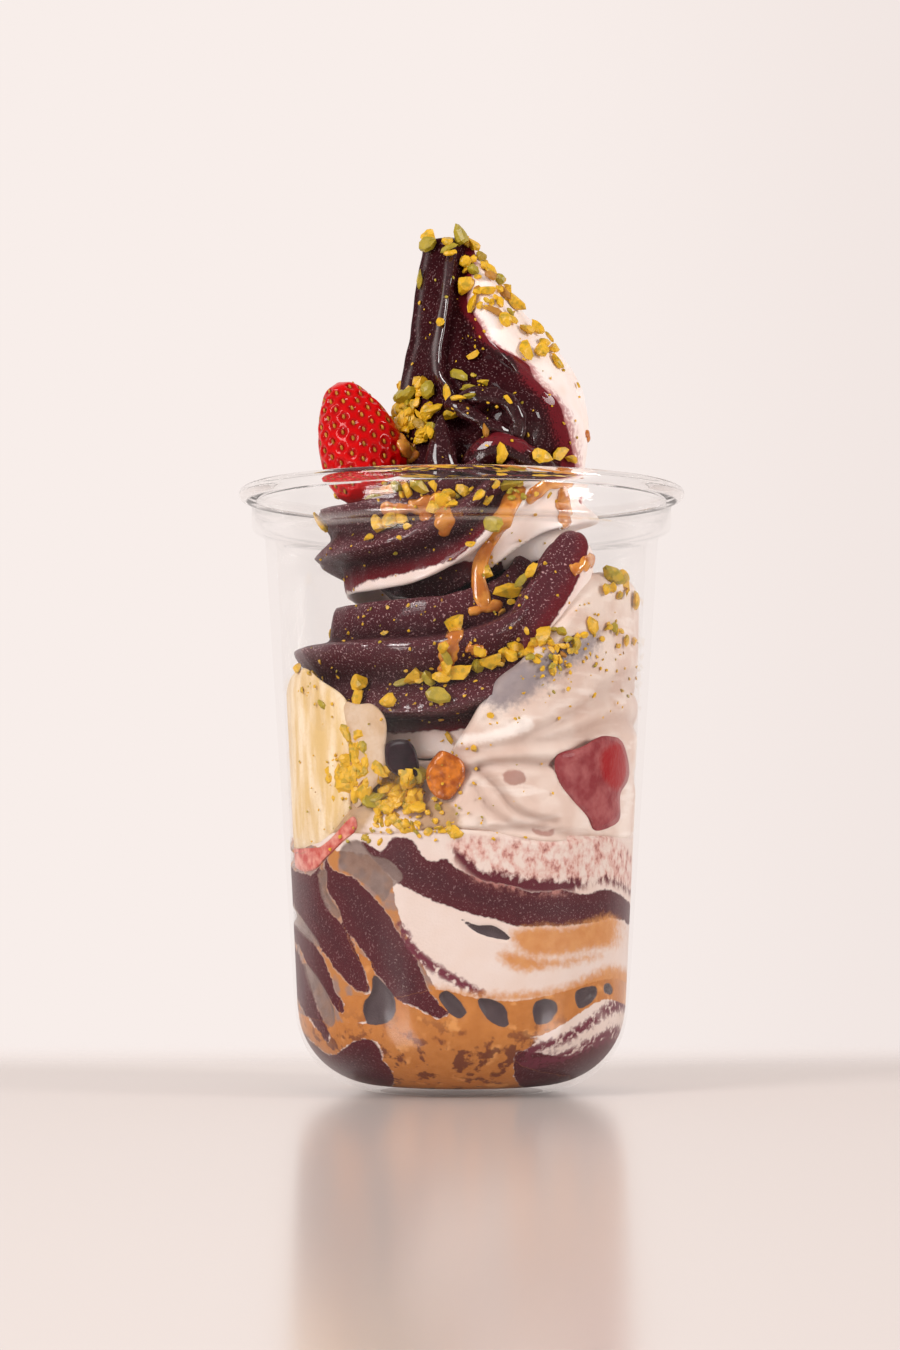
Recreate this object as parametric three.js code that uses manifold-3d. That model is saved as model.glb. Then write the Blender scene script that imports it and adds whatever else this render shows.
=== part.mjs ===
// A clear cup of acai and vanilla soft serve, built up in layers: a pool of peanut caramel, a lower
// swirl, a band of fruit and nuts, and an upper swirl drawn out to a leaning peak.
// Millimetres, +Z up. The origin is the middle of the cup's base, and the shown side faces -Y.
import * as THREE from 'three';
import { mergeVertices } from 'three/addons/utils/BufferGeometryUtils.js';
import Module from 'manifold-3d';

const wasm = await Module();
wasm.setup();

// ---- driving dimensions ----
const cup = {
  baseRadius: 17.2,      // the flat that it stands on
  cornerRadius: 18,      // the big round between base and wall
  wallAtBase: 34.15,     // the tapered wall's radius, carried down to z = 0
  taper: 0.0659,         // how much that radius grows for each millimetre of height
  wallTop: 116.8,        // where the wall steps out to the ledge
  ledgeRadius: 44.7,
  ledgeLow: 119.4,
  ledgeHigh: 124.1,
  beadRadius: 47.5,      // the rolled rim
  beadLow: 124.9,
  beadHigh: 127.7,
  wallLow: 0.8,          // the wall's thickness above the round corner
  wallHigh: 2.4,         // and below the ledge, as wide as the clear edge that shows there
  rimWall: 1.2,          // thickness of the skirt above the ledge
  lip: 0.4,              // how far the bead stands in over the skirt
  lipDepth: 1.6,
  stepRise: 0.6,         // how much higher the ledge's inner corners are than its outer ones
  base: 1.6,
  segments: 32,
  arcSteps: 6,           // pieces in each of the profile's rounds
};
const gap = 0.3;         // between neighbours that touch
const pool = { top: 15.6, tilt: 0, wave: 1.4, lobes: 3 };
const lower = { foot: 8, top: 51, tilt: 3.5, wave: 1.2, lobes: 5 };
const upper = {
  foot: 43,              // deep enough to meet the lower layer everywhere
  seam: 70,              // below this the upper swirl is vanilla all through
  pitch: 21.5,           // height of one coil
  coilDepth: 4.4,
  coilRound: 0.55,       // below 1 the coils are full and the grooves between them narrow
  coilsFrom: 78,         // below this the swirl is pressed smooth against the wall
  coilsFull: 92,
  flutes: 3,             // ridges of the star nozzle on one coil
  fluteDepth: 0.8,
  flutesEnd: 138,        // above this the coils give way to the pulled peak
  flutesFade: 12,
  peakRidges: 5,
  peakRidgeDepth: 0.16,  // as a part of the radius
  peakTwist: 28,         // millimetres of height in which the ridges turn by one radian
  rings: 41,
};
// the upper swirl from its foot to its tip: height, radius, and how far its middle leans in X
const upperShape = [
  { z: 56, r: 41, lean: 0 },
  { z: 84, r: 41, lean: 0 },
  { z: 94, r: 36.4, lean: 0 },
  { z: 103, r: 31.8, lean: -0.4 },
  { z: 114, r: 31.8, lean: -0.8 },
  { z: 125, r: 31.4, lean: -0.4 },
  { z: 131, r: 27, lean: 1.5 },
  { z: 138, r: 21.5, lean: 5 },
  { z: 148, r: 18.6, lean: 6 },
  { z: 158, r: 14.4, lean: 4 },
  { z: 168.5, r: 9.6, lean: 0.2 },
  { z: 177, r: 6.2, lean: -2.2 },
  { z: 181.5, r: 3.6, lean: -4 },
];
const tip = { x: -4.6, z: 183.6 };
// where acai gives way to vanilla, as an angle about the middle, seen from above
const lowerSeam = [
  { z: 12, angle: -112 },
  { z: 26, angle: -92 },
  { z: 40, angle: -30 },
  { z: 56, angle: -6 },
];
const upperSeam = [
  { z: 66, angle: -58 },
  { z: 92, angle: -58 },
  { z: 106, angle: -32 },
  { z: 124, angle: -26 },
  { z: 136, angle: -52 },
  { z: 190, angle: -66 },
];
const colours = {
  cup: 0xf4efec,
  sauce: 0xa8652c,
  acai: 0x3d2027,
  vanilla: 0xf3e8e0,
  strawberry: 0xb3161b,
  frostedFruit: 0xb65a5f,
  banana: 0xe9d9a2,
  darkBerry: 0x1f1420,
  caramelNut: 0xb0702e,
  pistachio: 0xc9a227,
};

// ---- small helpers ----
const radians = THREE.MathUtils.degToRad;

// reads a value off a list of stations by height, easing smoothly from one to the next
function along(stations, z, key) {
  const last = stations[stations.length - 1];
  if (z <= stations[0].z) return stations[0][key];
  if (z >= last.z) return last[key];
  const i = stations.findIndex((s) => s.z > z);
  const low = stations[i - 1];
  const high = stations[i];
  return THREE.MathUtils.lerp(low[key], high[key], (z - low.z) / (high.z - low.z));
}

// a closed surface of stacked rings with a pole at each end: point(u, angle) with u from 0 to 1
function ringSolid(rings, columns, foot, point, head) {
  const positions = [...foot];
  for (let i = 0; i < rings; i++) {
    for (let j = 0; j < columns; j++) {
      positions.push(...point(i / (rings - 1), (2 * Math.PI * j) / columns));
    }
  }
  positions.push(...head);
  const index = [];
  const headIndex = rings * columns + 1;
  for (let j = 0; j < columns; j++) {
    const next = (j + 1) % columns;
    index.push(0, 1 + next, 1 + j);
    for (let i = 0; i < rings - 1; i++) {
      const a = 1 + i * columns + j;
      const b = 1 + i * columns + next;
      index.push(a, b, b + columns, a, b + columns, a + columns);
    }
    const topRing = 1 + (rings - 1) * columns;
    index.push(topRing + j, topRing + next, headIndex);
  }
  const geometry = new THREE.BufferGeometry();
  geometry.setAttribute('position', new THREE.Float32BufferAttribute(positions, 3));
  geometry.setIndex(index);
  return geometry;
}

function toSolid(geometry) {
  geometry.deleteAttribute('normal');
  geometry.deleteAttribute('uv');
  const merged = mergeVertices(geometry, 1e-4);
  return new wasm.Manifold(new wasm.Mesh({
    numProp: 3,
    vertProperties: new Float32Array(merged.attributes.position.array),
    triVerts: new Uint32Array(merged.index.array),
  }));
}

function toGeometry(solid) {
  const mesh = solid.getMesh();
  const geometry = new THREE.BufferGeometry();
  geometry.setAttribute('position', new THREE.Float32BufferAttribute(mesh.vertProperties, 3));
  geometry.setIndex(Array.from(mesh.triVerts));
  return geometry;
}

// a profile of (radius, height) points turned about the upright axis
function turned(profile, segments) {
  return new THREE.LatheGeometry(profile, segments).rotateX(Math.PI / 2);
}

// puts a solid's geometry where it belongs: turned about X, then Y, then Z (degrees), then moved
function placed(geometry, at, turn = [0, 0, 0]) {
  geometry.rotateX(radians(turn[0]));
  geometry.rotateY(radians(turn[1]));
  geometry.rotateZ(radians(turn[2]));
  geometry.translate(...at);
  return toSolid(geometry);
}

// ---- the cup ----
function wallRadius(z) {
  return cup.wallAtBase + cup.taper * z;
}

function wallThickness(z) {
  const share = (z - cup.cornerRadius) / (cup.wallTop - cup.cornerRadius);
  return THREE.MathUtils.lerp(cup.wallLow, cup.wallHigh, THREE.MathUtils.clamp(share, 0, 1));
}

// the radius that whatever lies inside the cup may reach
function roomRadius(z) {
  return wallRadius(z) - wallThickness(z) - gap;
}

// the cup's line from its foot up to topZ; insetLow and insetHigh move the wall inwards at its two ends,
// and lift raises the foot
function wallLine(insetLow, insetHigh, lift, topZ) {
  const points = [];
  const slope = Math.atan(cup.taper);
  for (let i = 0; i <= cup.arcSteps; i++) {
    const turn = (i / cup.arcSteps) * (Math.PI / 2 - slope);
    points.push(new THREE.Vector2(
      cup.baseRadius + (cup.cornerRadius - insetLow) * Math.sin(turn),
      cup.cornerRadius - (cup.cornerRadius - lift) * Math.cos(turn),
    ));
  }
  points.push(new THREE.Vector2(wallRadius(topZ) - insetHigh, topZ));
  return points;
}

function cupGeometry() {
  const beadMiddle = (cup.beadLow + cup.beadHigh) / 2;
  const beadHalf = (cup.beadHigh - cup.beadLow) / 2;
  const beadCentre = cup.beadRadius - beadHalf;
  const skirtInside = cup.ledgeRadius - cup.rimWall;
  const outer = [
    new THREE.Vector2(0, 0),
    ...wallLine(0, 0, 0, cup.wallTop),
    new THREE.Vector2(cup.ledgeRadius, cup.ledgeLow),
    new THREE.Vector2(cup.ledgeRadius, cup.ledgeHigh),
  ];
  for (let i = 0; i <= cup.arcSteps; i++) {
    const turn = -Math.PI / 2 + (Math.PI * i) / cup.arcSteps;
    outer.push(new THREE.Vector2(
      beadCentre + beadHalf * Math.cos(turn),
      beadMiddle + beadHalf * Math.sin(turn),
    ));
  }
  const inner = [
    new THREE.Vector2(skirtInside - cup.lip, cup.beadHigh),
    new THREE.Vector2(skirtInside - cup.lip, cup.beadHigh - cup.lipDepth),
    new THREE.Vector2(skirtInside, cup.ledgeHigh - cup.lipDepth),
    new THREE.Vector2(skirtInside, cup.ledgeLow + cup.stepRise),
    ...wallLine(cup.wallLow, cup.wallHigh, cup.base, cup.wallTop + cup.stepRise).reverse(),
    new THREE.Vector2(0, cup.base),
  ];
  return turned([...outer, ...inner], cup.segments);
}

// the room inside the cup up to topZ, held clear of the wall by the usual gap
function roomInside(topZ) {
  const insetLow = cup.wallLow + gap;
  const insetHigh = wallThickness(topZ) + gap;
  const line = wallLine(insetLow, insetHigh, cup.base + gap, topZ);
  const profile = [new THREE.Vector2(0, line[0].y), ...line, new THREE.Vector2(0, topZ)];
  return toSolid(turned(profile, cup.segments));
}

// ---- layers inside the cup ----
// a block from below the cup up to a layer's gently waved, tilted top, raised by clearance, wide enough
// to cut the whole cup
function blockUpTo(layer, clearance) {
  const reach = 48;
  const low = -5;
  const top = layer.top + clearance;
  const heightAt = (radius, angle) => {
    const share = radius / reach;
    return top + layer.tilt * share * Math.cos(angle) + layer.wave * share * Math.sin(layer.lobes * angle);
  };
  const rings = [[reach, 0], [reach, 1], [reach * 0.75, 1], [reach * 0.4, 1]];
  const point = (u, angle) => {
    const [radius, lifted] = rings[Math.round(u * (rings.length - 1))];
    const z = lifted ? heightAt(radius, angle) : low;
    return [radius * Math.cos(angle), radius * Math.sin(angle), z];
  };
  return toSolid(ringSolid(rings.length, cup.segments, [0, 0, low], point, [0, 0, top]));
}

// one half of the cup as a twisted slab: everything on the acai side of the seam, from lowZ to highZ
function acaiSide(seam, lowZ, highZ, grow) {
  const reach = 60;
  const sliceHeight = 5;
  const slices = Math.ceil((highZ - lowZ) / sliceHeight);
  const corners = [-reach, -reach / 3, reach / 3, reach];
  const point = (u, angle) => {
    const z = THREE.MathUtils.lerp(lowZ, highZ, u);
    const endShift = u === 0 ? -grow : u === 1 ? grow : 0;
    const turn = radians(along(seam, z, 'angle'));
    const step = Math.round((angle / (2 * Math.PI)) * 8);
    const alongSeam = step < 4 ? corners[3 - step] : corners[step - 4];
    const acrossSeam = step < 4 ? grow : -reach;
    const middle = along(upperShape, z, 'lean');
    return [
      middle + alongSeam * Math.cos(turn) + acrossSeam * -Math.sin(turn),
      alongSeam * Math.sin(turn) + acrossSeam * Math.cos(turn),
      z + endShift,
    ];
  };
  const foot = [along(upperShape, lowZ, 'lean'), -1, lowZ - grow];
  const head = [along(upperShape, highZ, 'lean'), -1, highZ + grow];
  return toSolid(ringSolid(slices, 8, foot, point, head));
}

// the upper swirl: coils of a fluted rope wound upwards, which run out into a ridged, leaning peak
function upperSwirl() {
  // rings stand closest where the coils are
  const rows = [
    { z: upper.foot, share: 0 },
    { z: 80, share: 0.1 },
    { z: upper.flutesEnd, share: 0.74 },
    { z: tip.z - 2, share: 1 },
  ];
  const point = (u, angle) => {
    const next = Math.max(1, rows.findIndex((row) => row.share >= u));
    const within = (u - rows[next - 1].share) / (rows[next].share - rows[next - 1].share);
    const z = THREE.MathUtils.lerp(rows[next - 1].z, rows[next].z, within);
    const turns = z / upper.pitch - angle / (2 * Math.PI);
    const phase = turns - Math.floor(turns);
    const inPeak = THREE.MathUtils.smoothstep(z, upper.flutesEnd - upper.flutesFade, upper.flutesEnd);
    const free = THREE.MathUtils.smoothstep(z, upper.coilsFrom, upper.coilsFull);
    const coil = upper.coilDepth * (Math.pow(Math.sin(Math.PI * phase), upper.coilRound) - 1);
    const flute = upper.fluteDepth * Math.cos(2 * Math.PI * upper.flutes * phase);
    const ridge = upper.peakRidgeDepth * Math.cos(upper.peakRidges * angle + z / upper.peakTwist);
    const radius = along(upperShape, z, 'r');
    const relief = free * (1 - inPeak) * (coil + flute) + inPeak * radius * ridge;
    const r = Math.min(radius + relief, roomRadius(z));
    return [along(upperShape, z, 'lean') + r * Math.cos(angle), r * Math.sin(angle), z];
  };
  return toSolid(ringSolid(upper.rings, cup.segments, [0, 0, upper.foot], point, [tip.x, 0, tip.z]));
}

// ---- fruit and nuts ----
// a strawberry on its end: rounded shoulders below, drawn in to a blunt point above
function berryBody(radius, height, grow, pointed) {
  const profile = [];
  const steps = 8;
  for (let i = 0; i <= steps; i++) {
    const t = (Math.PI * i) / steps;
    const z = -Math.cos(t);
    const narrowing = 1 - pointed * (0.5 + 0.5 * z);
    profile.push(new THREE.Vector2(
      i === 0 || i === steps ? 0 : (radius * narrowing + grow) * Math.sin(t),
      (height / 2 + grow) * z,
    ));
  }
  return turned(profile, 12);
}

// a slice with rounded edges, lying flat: an oval plate
function slicePlate(halfLong, halfWide, thick, grow) {
  const rim = [[0.9, -1], [1, -0.55], [1, 0.55], [0.9, 1]];
  const point = (u, angle) => {
    const [wide, level] = rim[Math.round(u * (rim.length - 1))];
    return [
      (halfLong * wide + grow) * Math.cos(angle),
      (halfWide * wide + grow) * Math.sin(angle),
      level * (thick / 2 + grow),
    ];
  };
  const half = thick / 2 + grow;
  return ringSolid(rim.length, 18, [0, 0, -half], point, [0, 0, half]);
}

// a knobbly lump, such as a cluster or a heap of chopped nuts
function lump(radii, knobs, knobSize, grow) {
  const rings = 7;
  const point = (u, angle) => {
    const polar = Math.PI * (u * (1 - 2 / rings) + 1 / rings);
    const knob = 1 + knobSize * Math.cos(knobs * angle + 2 * polar) * Math.sin(knobs * polar);
    return [
      (radii[0] * knob + grow) * Math.sin(polar) * Math.cos(angle),
      (radii[1] * knob + grow) * Math.sin(polar) * Math.sin(angle),
      -(radii[2] * knob + grow) * Math.cos(polar),
    ];
  };
  return ringSolid(rings, 12, [0, 0, -radii[2] - grow], point, [0, 0, radii[2] + grow]);
}

// every piece of fruit, made with the given clearance around it
const fruit = {
  strawberry: (grow) => placed(berryBody(12, 26, grow, 0.55), [-22.6, -10, 139], [4, -7, 0]),
  strawberry_piece: (grow) => placed(berryBody(9.4, 22, grow, 0.4), [24.5, -20.5, 61.5], [0, 16, 20]),
  banana_slice_front: (grow) => placed(slicePlate(9, 16, 7, grow), [-19.6, -28, 64.5], [94, 0, -35]),
  banana_slice_side: (grow) => placed(slicePlate(11.5, 20, 8, grow), [-28.6, -18.6, 67.5], [94, 0, -57]),
  dark_berry: (grow) => placed(lump([5.6, 5, 5.6], 3, 0.04, grow), [-11.6, -31.4, 68.6]),
  caramel_nut_cluster: (grow) => placed(lump([4.6, 3.8, 5.6], 3, 0.12, grow), [-1, -33.9, 66]),
};
const heap = (grow) => placed(lump([14, 6.5, 7.4], 4, 0.08, grow), [-10.5, -30.5, 57.5], [0, 18, 0]);

// ---- assembly ----
const inside = roomInside(cup.wallTop - 6);
const poolBlock = blockUpTo(pool, 0);
const poolClear = blockUpTo(pool, gap);
const lowerBlock = blockUpTo(lower, 0);
const lowerClear = blockUpTo(lower, gap);

const solids = {};
for (const [name, make] of Object.entries(fruit)) {
  solids[name] = make(0);
}
// pieces against the wall are pressed to its shape, and each leaves room for the one before it
const pressed = [
  'banana_slice_side',
  'banana_slice_front',
  'strawberry_piece',
  'caramel_nut_cluster',
  'dark_berry',
];
pressed.forEach((name, i) => {
  solids[name] = solids[name].intersect(inside);
  for (const other of pressed.slice(0, i)) {
    solids[name] = solids[name].subtract(fruit[other](gap));
  }
});
solids.pistachio_heap = heap(0).intersect(inside);
for (const name of pressed) {
  solids.pistachio_heap = solids.pistachio_heap.subtract(fruit[name](gap));
}

const allRooms = [...Object.values(fruit), heap].map((make) => make(gap));
const cutRooms = (solid) => allRooms.reduce((rest, room) => rest.subtract(room), solid);

const lowerLayer = cutRooms(inside.intersect(lowerBlock).subtract(poolClear));
const lowerAcai = (grow) => acaiSide(lowerSeam, lower.foot, lower.top + 8, grow);
const upperLayer = cutRooms(upperSwirl().subtract(lowerClear));
const upperAcai = (grow) => acaiSide(upperSeam, upper.seam, tip.z + 4, grow);

solids.peanut_caramel_sauce = inside.intersect(poolBlock);
solids.acai_lower_swirl = lowerLayer.intersect(lowerAcai(0));
solids.vanilla_lower_swirl = lowerLayer.subtract(lowerAcai(gap));
solids.acai_upper_swirl = upperLayer.intersect(upperAcai(0));
solids.vanilla_upper_swirl = upperLayer.subtract(upperAcai(gap));

const finishes = {
  peanut_caramel_sauce: { color: colours.sauce, roughness: 0.25 },
  acai_lower_swirl: { color: colours.acai, roughness: 0.45 },
  vanilla_lower_swirl: { color: colours.vanilla, roughness: 0.5 },
  acai_upper_swirl: { color: colours.acai, roughness: 0.4 },
  vanilla_upper_swirl: { color: colours.vanilla, roughness: 0.5 },
  strawberry: { color: colours.strawberry, roughness: 0.3 },
  strawberry_piece: { color: colours.frostedFruit, roughness: 0.5 },
  banana_slice_front: { color: colours.banana, roughness: 0.5 },
  banana_slice_side: { color: colours.banana, roughness: 0.5 },
  dark_berry: { color: colours.darkBerry, roughness: 0.35 },
  caramel_nut_cluster: { color: colours.caramelNut, roughness: 0.4 },
  pistachio_heap: { color: colours.pistachio, roughness: 0.7 },
};

const dessert = new THREE.Group();

const cupMesh = new THREE.Mesh(
  cupGeometry(),
  new THREE.MeshStandardMaterial({ color: colours.cup, roughness: 0.08, metalness: 0 }),
);
cupMesh.name = 'cup';
dessert.add(cupMesh);

for (const [name, finish] of Object.entries(finishes)) {
  const mesh = new THREE.Mesh(
    toGeometry(solids[name]),
    new THREE.MeshStandardMaterial({ ...finish, metalness: 0 }),
  );
  mesh.name = name;
  dessert.add(mesh);
}

export default dessert;
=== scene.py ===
import math

import bpy
import numpy as np
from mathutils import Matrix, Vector
from mathutils.bvhtree import BVHTree


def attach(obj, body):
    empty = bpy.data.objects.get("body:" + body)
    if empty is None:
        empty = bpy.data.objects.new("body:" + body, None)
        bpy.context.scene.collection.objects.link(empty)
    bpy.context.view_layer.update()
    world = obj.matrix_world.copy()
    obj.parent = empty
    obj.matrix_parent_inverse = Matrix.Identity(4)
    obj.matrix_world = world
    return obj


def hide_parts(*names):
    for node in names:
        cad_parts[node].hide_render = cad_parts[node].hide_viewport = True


# A clear cup of acai and vanilla soft serve with fruit, chopped pistachios and peanut caramel.
# Shapes are worked out in millimetres and put into meshes in metres, in the part's own frame.
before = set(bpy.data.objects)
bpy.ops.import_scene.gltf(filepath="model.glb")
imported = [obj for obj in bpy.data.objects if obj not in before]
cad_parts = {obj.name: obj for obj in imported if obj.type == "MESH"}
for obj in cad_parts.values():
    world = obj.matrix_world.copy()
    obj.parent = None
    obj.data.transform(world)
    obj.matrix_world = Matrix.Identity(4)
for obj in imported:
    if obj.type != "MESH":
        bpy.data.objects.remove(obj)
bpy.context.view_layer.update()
mm = 0.001
fullTurn = 2 * math.pi

# the photograph's view
view = {
    "eye": (-2.44, -717.4, 48.7),   # mm
    "pitch": 3.135,                 # degrees above level
    "focal": 3375.0,                # photo pixels
    "middle": (450.0, 675.0),
    "lens": 90.0,
}
eye = np.array(view["eye"])
pitchAngle = math.radians(view["pitch"])
lookDir = np.array([0, math.cos(pitchAngle), math.sin(pitchAngle)])
upDir = np.array([0, -math.sin(pitchAngle), math.cos(pitchAngle)])
rightDir = np.array([1.0, 0, 0])


# evenly spread angles round a full turn, the last one left out
def ringAngles(count):
    return np.linspace(0, fullTurn, count, endpoint=False)


# vectors scaled to length one
def unit(vectors):
    return vectors / np.maximum(np.linalg.norm(vectors, axis=-1, keepdims=True), 1e-9)


# a bell curve: 1 at its centre and 1/e at its width
def bell(x, centre, width):
    return np.exp(-((x - centre) / width) ** 2)


# points in space from a distance to the axis, an angle about it and a height
def fromPolar(radius, angle, z):
    return np.stack(np.broadcast_arrays(radius * np.cos(angle), radius * np.sin(angle), z), -1)


# photo pixel of a point: its sideways and upward distance from the eye over its depth, times the focal
# length
def toPhoto(points):
    seen = points - eye
    depth = seen @ lookDir
    across = view["middle"][0] + view["focal"] * (seen @ rightDir) / depth
    down = view["middle"][1] - view["focal"] * (seen @ upDir) / depth
    return np.stack([across, down], -1)


# unit directions from the eye through photo pixels
def photoRays(pixels):
    pixels = np.asarray(pixels, float)
    across = (pixels[..., 0:1] - view["middle"][0]) / view["focal"]
    down = (pixels[..., 1:2] - view["middle"][1]) / view["focal"]
    return unit(lookDir + across * rightDir - down * upDir)


# the point on each pixel's ray whose Y is the given depth
def atDepth(pixels, y):
    rays = photoRays(pixels)
    return eye + rays * ((np.asarray(y) - eye[1]) / rays[..., 1])[..., None]


# curves
# a smooth curve through keys (position, value, value...): cubic pieces whose slopes are central differences
def smoothKeys(keys, at):
    keys = np.asarray(keys, float)
    x, y = keys[:, 0], keys[:, 1:]
    slope = np.gradient(y, x, axis=0)
    at = np.clip(np.asarray(at, float), x[0], x[-1])
    i = np.clip(np.searchsorted(x, at, side="right") - 1, 0, len(x) - 2)
    h = (x[i + 1] - x[i])[..., None]
    t = (at - x[i])[..., None] / h
    return ((1 + 2 * t) * (1 - t) ** 2 * y[i] + t * (1 - t) ** 2 * h * slope[i]
            + t * t * (3 - 2 * t) * y[i + 1] + t * t * (t - 1) * h * slope[i + 1])


# the same curve through points, by distance along them: returns count evenly spread points
def smoothPath(points, count, closed=False):
    points = np.asarray(points, float)
    if closed:
        points = np.vstack([points[-2:], points, points[:3]])
    steps = np.linalg.norm(np.diff(points, axis=0), axis=1)
    along = np.concatenate([[0], np.cumsum(steps)])
    keys = np.column_stack([along, points])
    if closed:
        at = np.linspace(along[2], along[-3], count, endpoint=False)
    else:
        at = np.linspace(0, along[-1], count)
    return smoothKeys(keys, at)


# soft noise between about -1 and 1: a few sine waves in fixed random directions, of the given size in mm
def wobble(points, size, seed, waves=7):
    rng = np.random.default_rng(seed)
    directions = unit(rng.normal(size=(waves, 3)))
    rates = fullTurn / size * rng.uniform(0.6, 1.5, waves)
    phases = rng.uniform(0, fullTurn, waves)
    return np.sin((points @ directions.T) * rates + phases).sum(-1) / math.sqrt(waves) / 1.4


def smoothStep(low, high, x):
    t = np.clip((x - low) / (high - low), 0, 1)
    return t * t * (3 - 2 * t)


farPixels = 40.0   # distances in the picture are kept up to this


# distance in pixels from each point to the nearest edge, by its start and run
def edgeDistance(points, starts, runs):
    gap = points[:, None] - starts[None]
    share = np.clip((gap * runs).sum(-1) / np.maximum((runs * runs).sum(-1), 1e-9), 0, 1)
    return np.sqrt(((gap - share[..., None] * runs) ** 2).sum(-1)).min(1)


# a measure of the points near a line, and minus farPixels elsewhere
def nearLine(pixels, line, measure):
    flat = pixels.reshape(-1, 2)
    near = ((flat > line.min(0) - farPixels) & (flat < line.max(0) + farPixels)).all(1)
    result = np.full(len(flat), -farPixels)
    if near.any():
        result[near] = measure(flat[near])
    return np.clip(result, -farPixels, farPixels).reshape(pixels.shape[:-1])


# signed distance in pixels from points to a closed outline: positive inside, by nearest edge and ray
# crossings
def insideOutline(pixels, outline):
    ring = smoothPath(outline, max(24, 4 * len(outline)), closed=True)
    ends = np.roll(ring, -1, axis=0)
    runs = ends - ring

    def signed(points):
        x, y = points[:, 0:1], points[:, 1:2]
        spans = (ring[None, :, 1] > y) != (ends[None, :, 1] > y)
        rise = runs[:, 1] + (runs[:, 1] == 0) * 1e-9
        crossing = ring[None, :, 0] + (y - ring[None, :, 1]) / rise * runs[:, 0]
        inside = ((spans & (x < crossing)).sum(1) % 2) == 1
        distance = edgeDistance(points, ring, runs)
        return np.where(inside, distance, -distance)

    return nearLine(pixels, ring, signed)


# distance in pixels from points to an open line, less half its width: positive on the line
def onLine(pixels, line, width):
    path = smoothPath(line, 6 * len(line))
    runs = np.diff(path, axis=0)
    return nearLine(pixels, path, lambda points: width / 2 - edgeDistance(points, path[:-1], runs))


# meshes
pieceMeshes = {}   # name: (points in mm, triangles), kept for casting rays at finished surfaces


# puts points and faces into a mesh, turns it outside out by its signed volume, and adds its attributes
def addPiece(name, points, quads, triangles, material, values=None, smooth=True, cast=True):
    quads = np.asarray(quads, int).reshape(-1, 4)
    triangles = np.asarray(triangles, int).reshape(-1, 3)
    split = np.vstack([quads[:, [0, 1, 2]], quads[:, [0, 2, 3]], triangles])
    corner = points[split]
    volume = (corner[:, 0] * np.cross(corner[:, 1], corner[:, 2])).sum()
    if volume < 0:
        quads, triangles, split = quads[:, ::-1], triangles[:, ::-1], split[:, ::-1]
    mesh = bpy.data.meshes.new(name)
    mesh.from_pydata((points * mm).tolist(), [], quads.tolist() + triangles.tolist())
    mesh.polygons.foreach_set("use_smooth", np.full(len(mesh.polygons), smooth))
    for key, value in (values or {}).items():
        data = mesh.attributes.new(key, "FLOAT", "POINT").data
        data.foreach_set("value", np.asarray(value, np.float32).ravel())
    mesh.materials.append(material)
    mesh.update()
    piece = bpy.data.objects.new(name, mesh)
    bpy.context.scene.collection.objects.link(piece)
    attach(piece, "root")
    if cast:
        pieceMeshes[name] = (points, split)
    return piece


# a grid of points, rows by columns, whose columns close into a ring; each end is closed by a middle point
def addGrid(name, points, material, values=None, cast=True):
    rows, columns = points.shape[:2]
    i = np.arange(rows - 1)[:, None] * columns
    j = np.arange(columns)
    nextJ = (j + 1) % columns
    quads = np.stack([i + j, i + nextJ, i + columns + nextJ, i + columns + j], -1)
    last = (rows - 1) * columns
    fans = np.concatenate([np.stack([np.full(columns, rows * columns), nextJ, j], -1),
                           np.stack([np.full(columns, rows * columns + 1), last + j, last + nextJ], -1)])
    closed = np.vstack([points.reshape(-1, 3), points[0].mean(0), points[-1].mean(0)])
    closedValues = {}
    for key, value in (values or {}).items():
        grid = np.asarray(value, float).reshape(rows, columns)
        closedValues[key] = np.append(grid, [grid[0].mean(), grid[-1].mean()])
    return addPiece(name, closed, quads, fans, material, closedValues, cast=cast)


# a flat-sided tube along a path: rings across the path, carried in a frame that leans on a given normal
def sweptPoints(path, normals, halfWidths, heights, columns=14):
    along = unit(np.gradient(np.asarray(path, float), axis=0))
    side = unit(np.cross(along, normals))
    out = np.cross(side, along)
    turn = ringAngles(columns)[None, :, None]
    wide = np.asarray(halfWidths)[:, None, None] * np.cos(turn) * side[:, None]
    high = np.asarray(heights)[:, None, None] * np.sin(turn) * out[:, None]
    return path[:, None] + wide + high


# shader helpers
# the shader's colour for one written as 0 to 255 in a picture
def linear(red, green, blue):
    value = np.array([red, green, blue]) / 255.0
    value = np.where(value <= 0.04045, value / 12.92, ((value + 0.055) / 1.055) ** 2.4)
    return (*value.tolist(), 1.0)


# a new node; each input takes a value or a link from a socket
def addNode(tree, kind, inputs=None, **settings):
    new = tree.nodes.new(kind)
    for key, value in settings.items():
        setattr(new, key, value)
    for key, value in (inputs or {}).items():
        if isinstance(value, bpy.types.NodeSocket):
            tree.links.new(value, new.inputs[key])
        else:
            new.inputs[key].default_value = value
    return new


def mathNode(tree, operation, a, b=0.0, clamp=False):
    return addNode(tree, "ShaderNodeMath", {0: a, 1: b}, operation=operation, use_clamp=clamp).outputs[0]


def times(tree, a, b, clamp=False):
    return mathNode(tree, "MULTIPLY", a, b, clamp)


def plus(tree, a, b, clamp=False):
    return mathNode(tree, "ADD", a, b, clamp)


# a times b, plus c
def timesPlus(tree, a, b, c):
    return addNode(tree, "ShaderNodeMath", {0: a, 1: b, 2: c}, operation="MULTIPLY_ADD").outputs[0]


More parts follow.
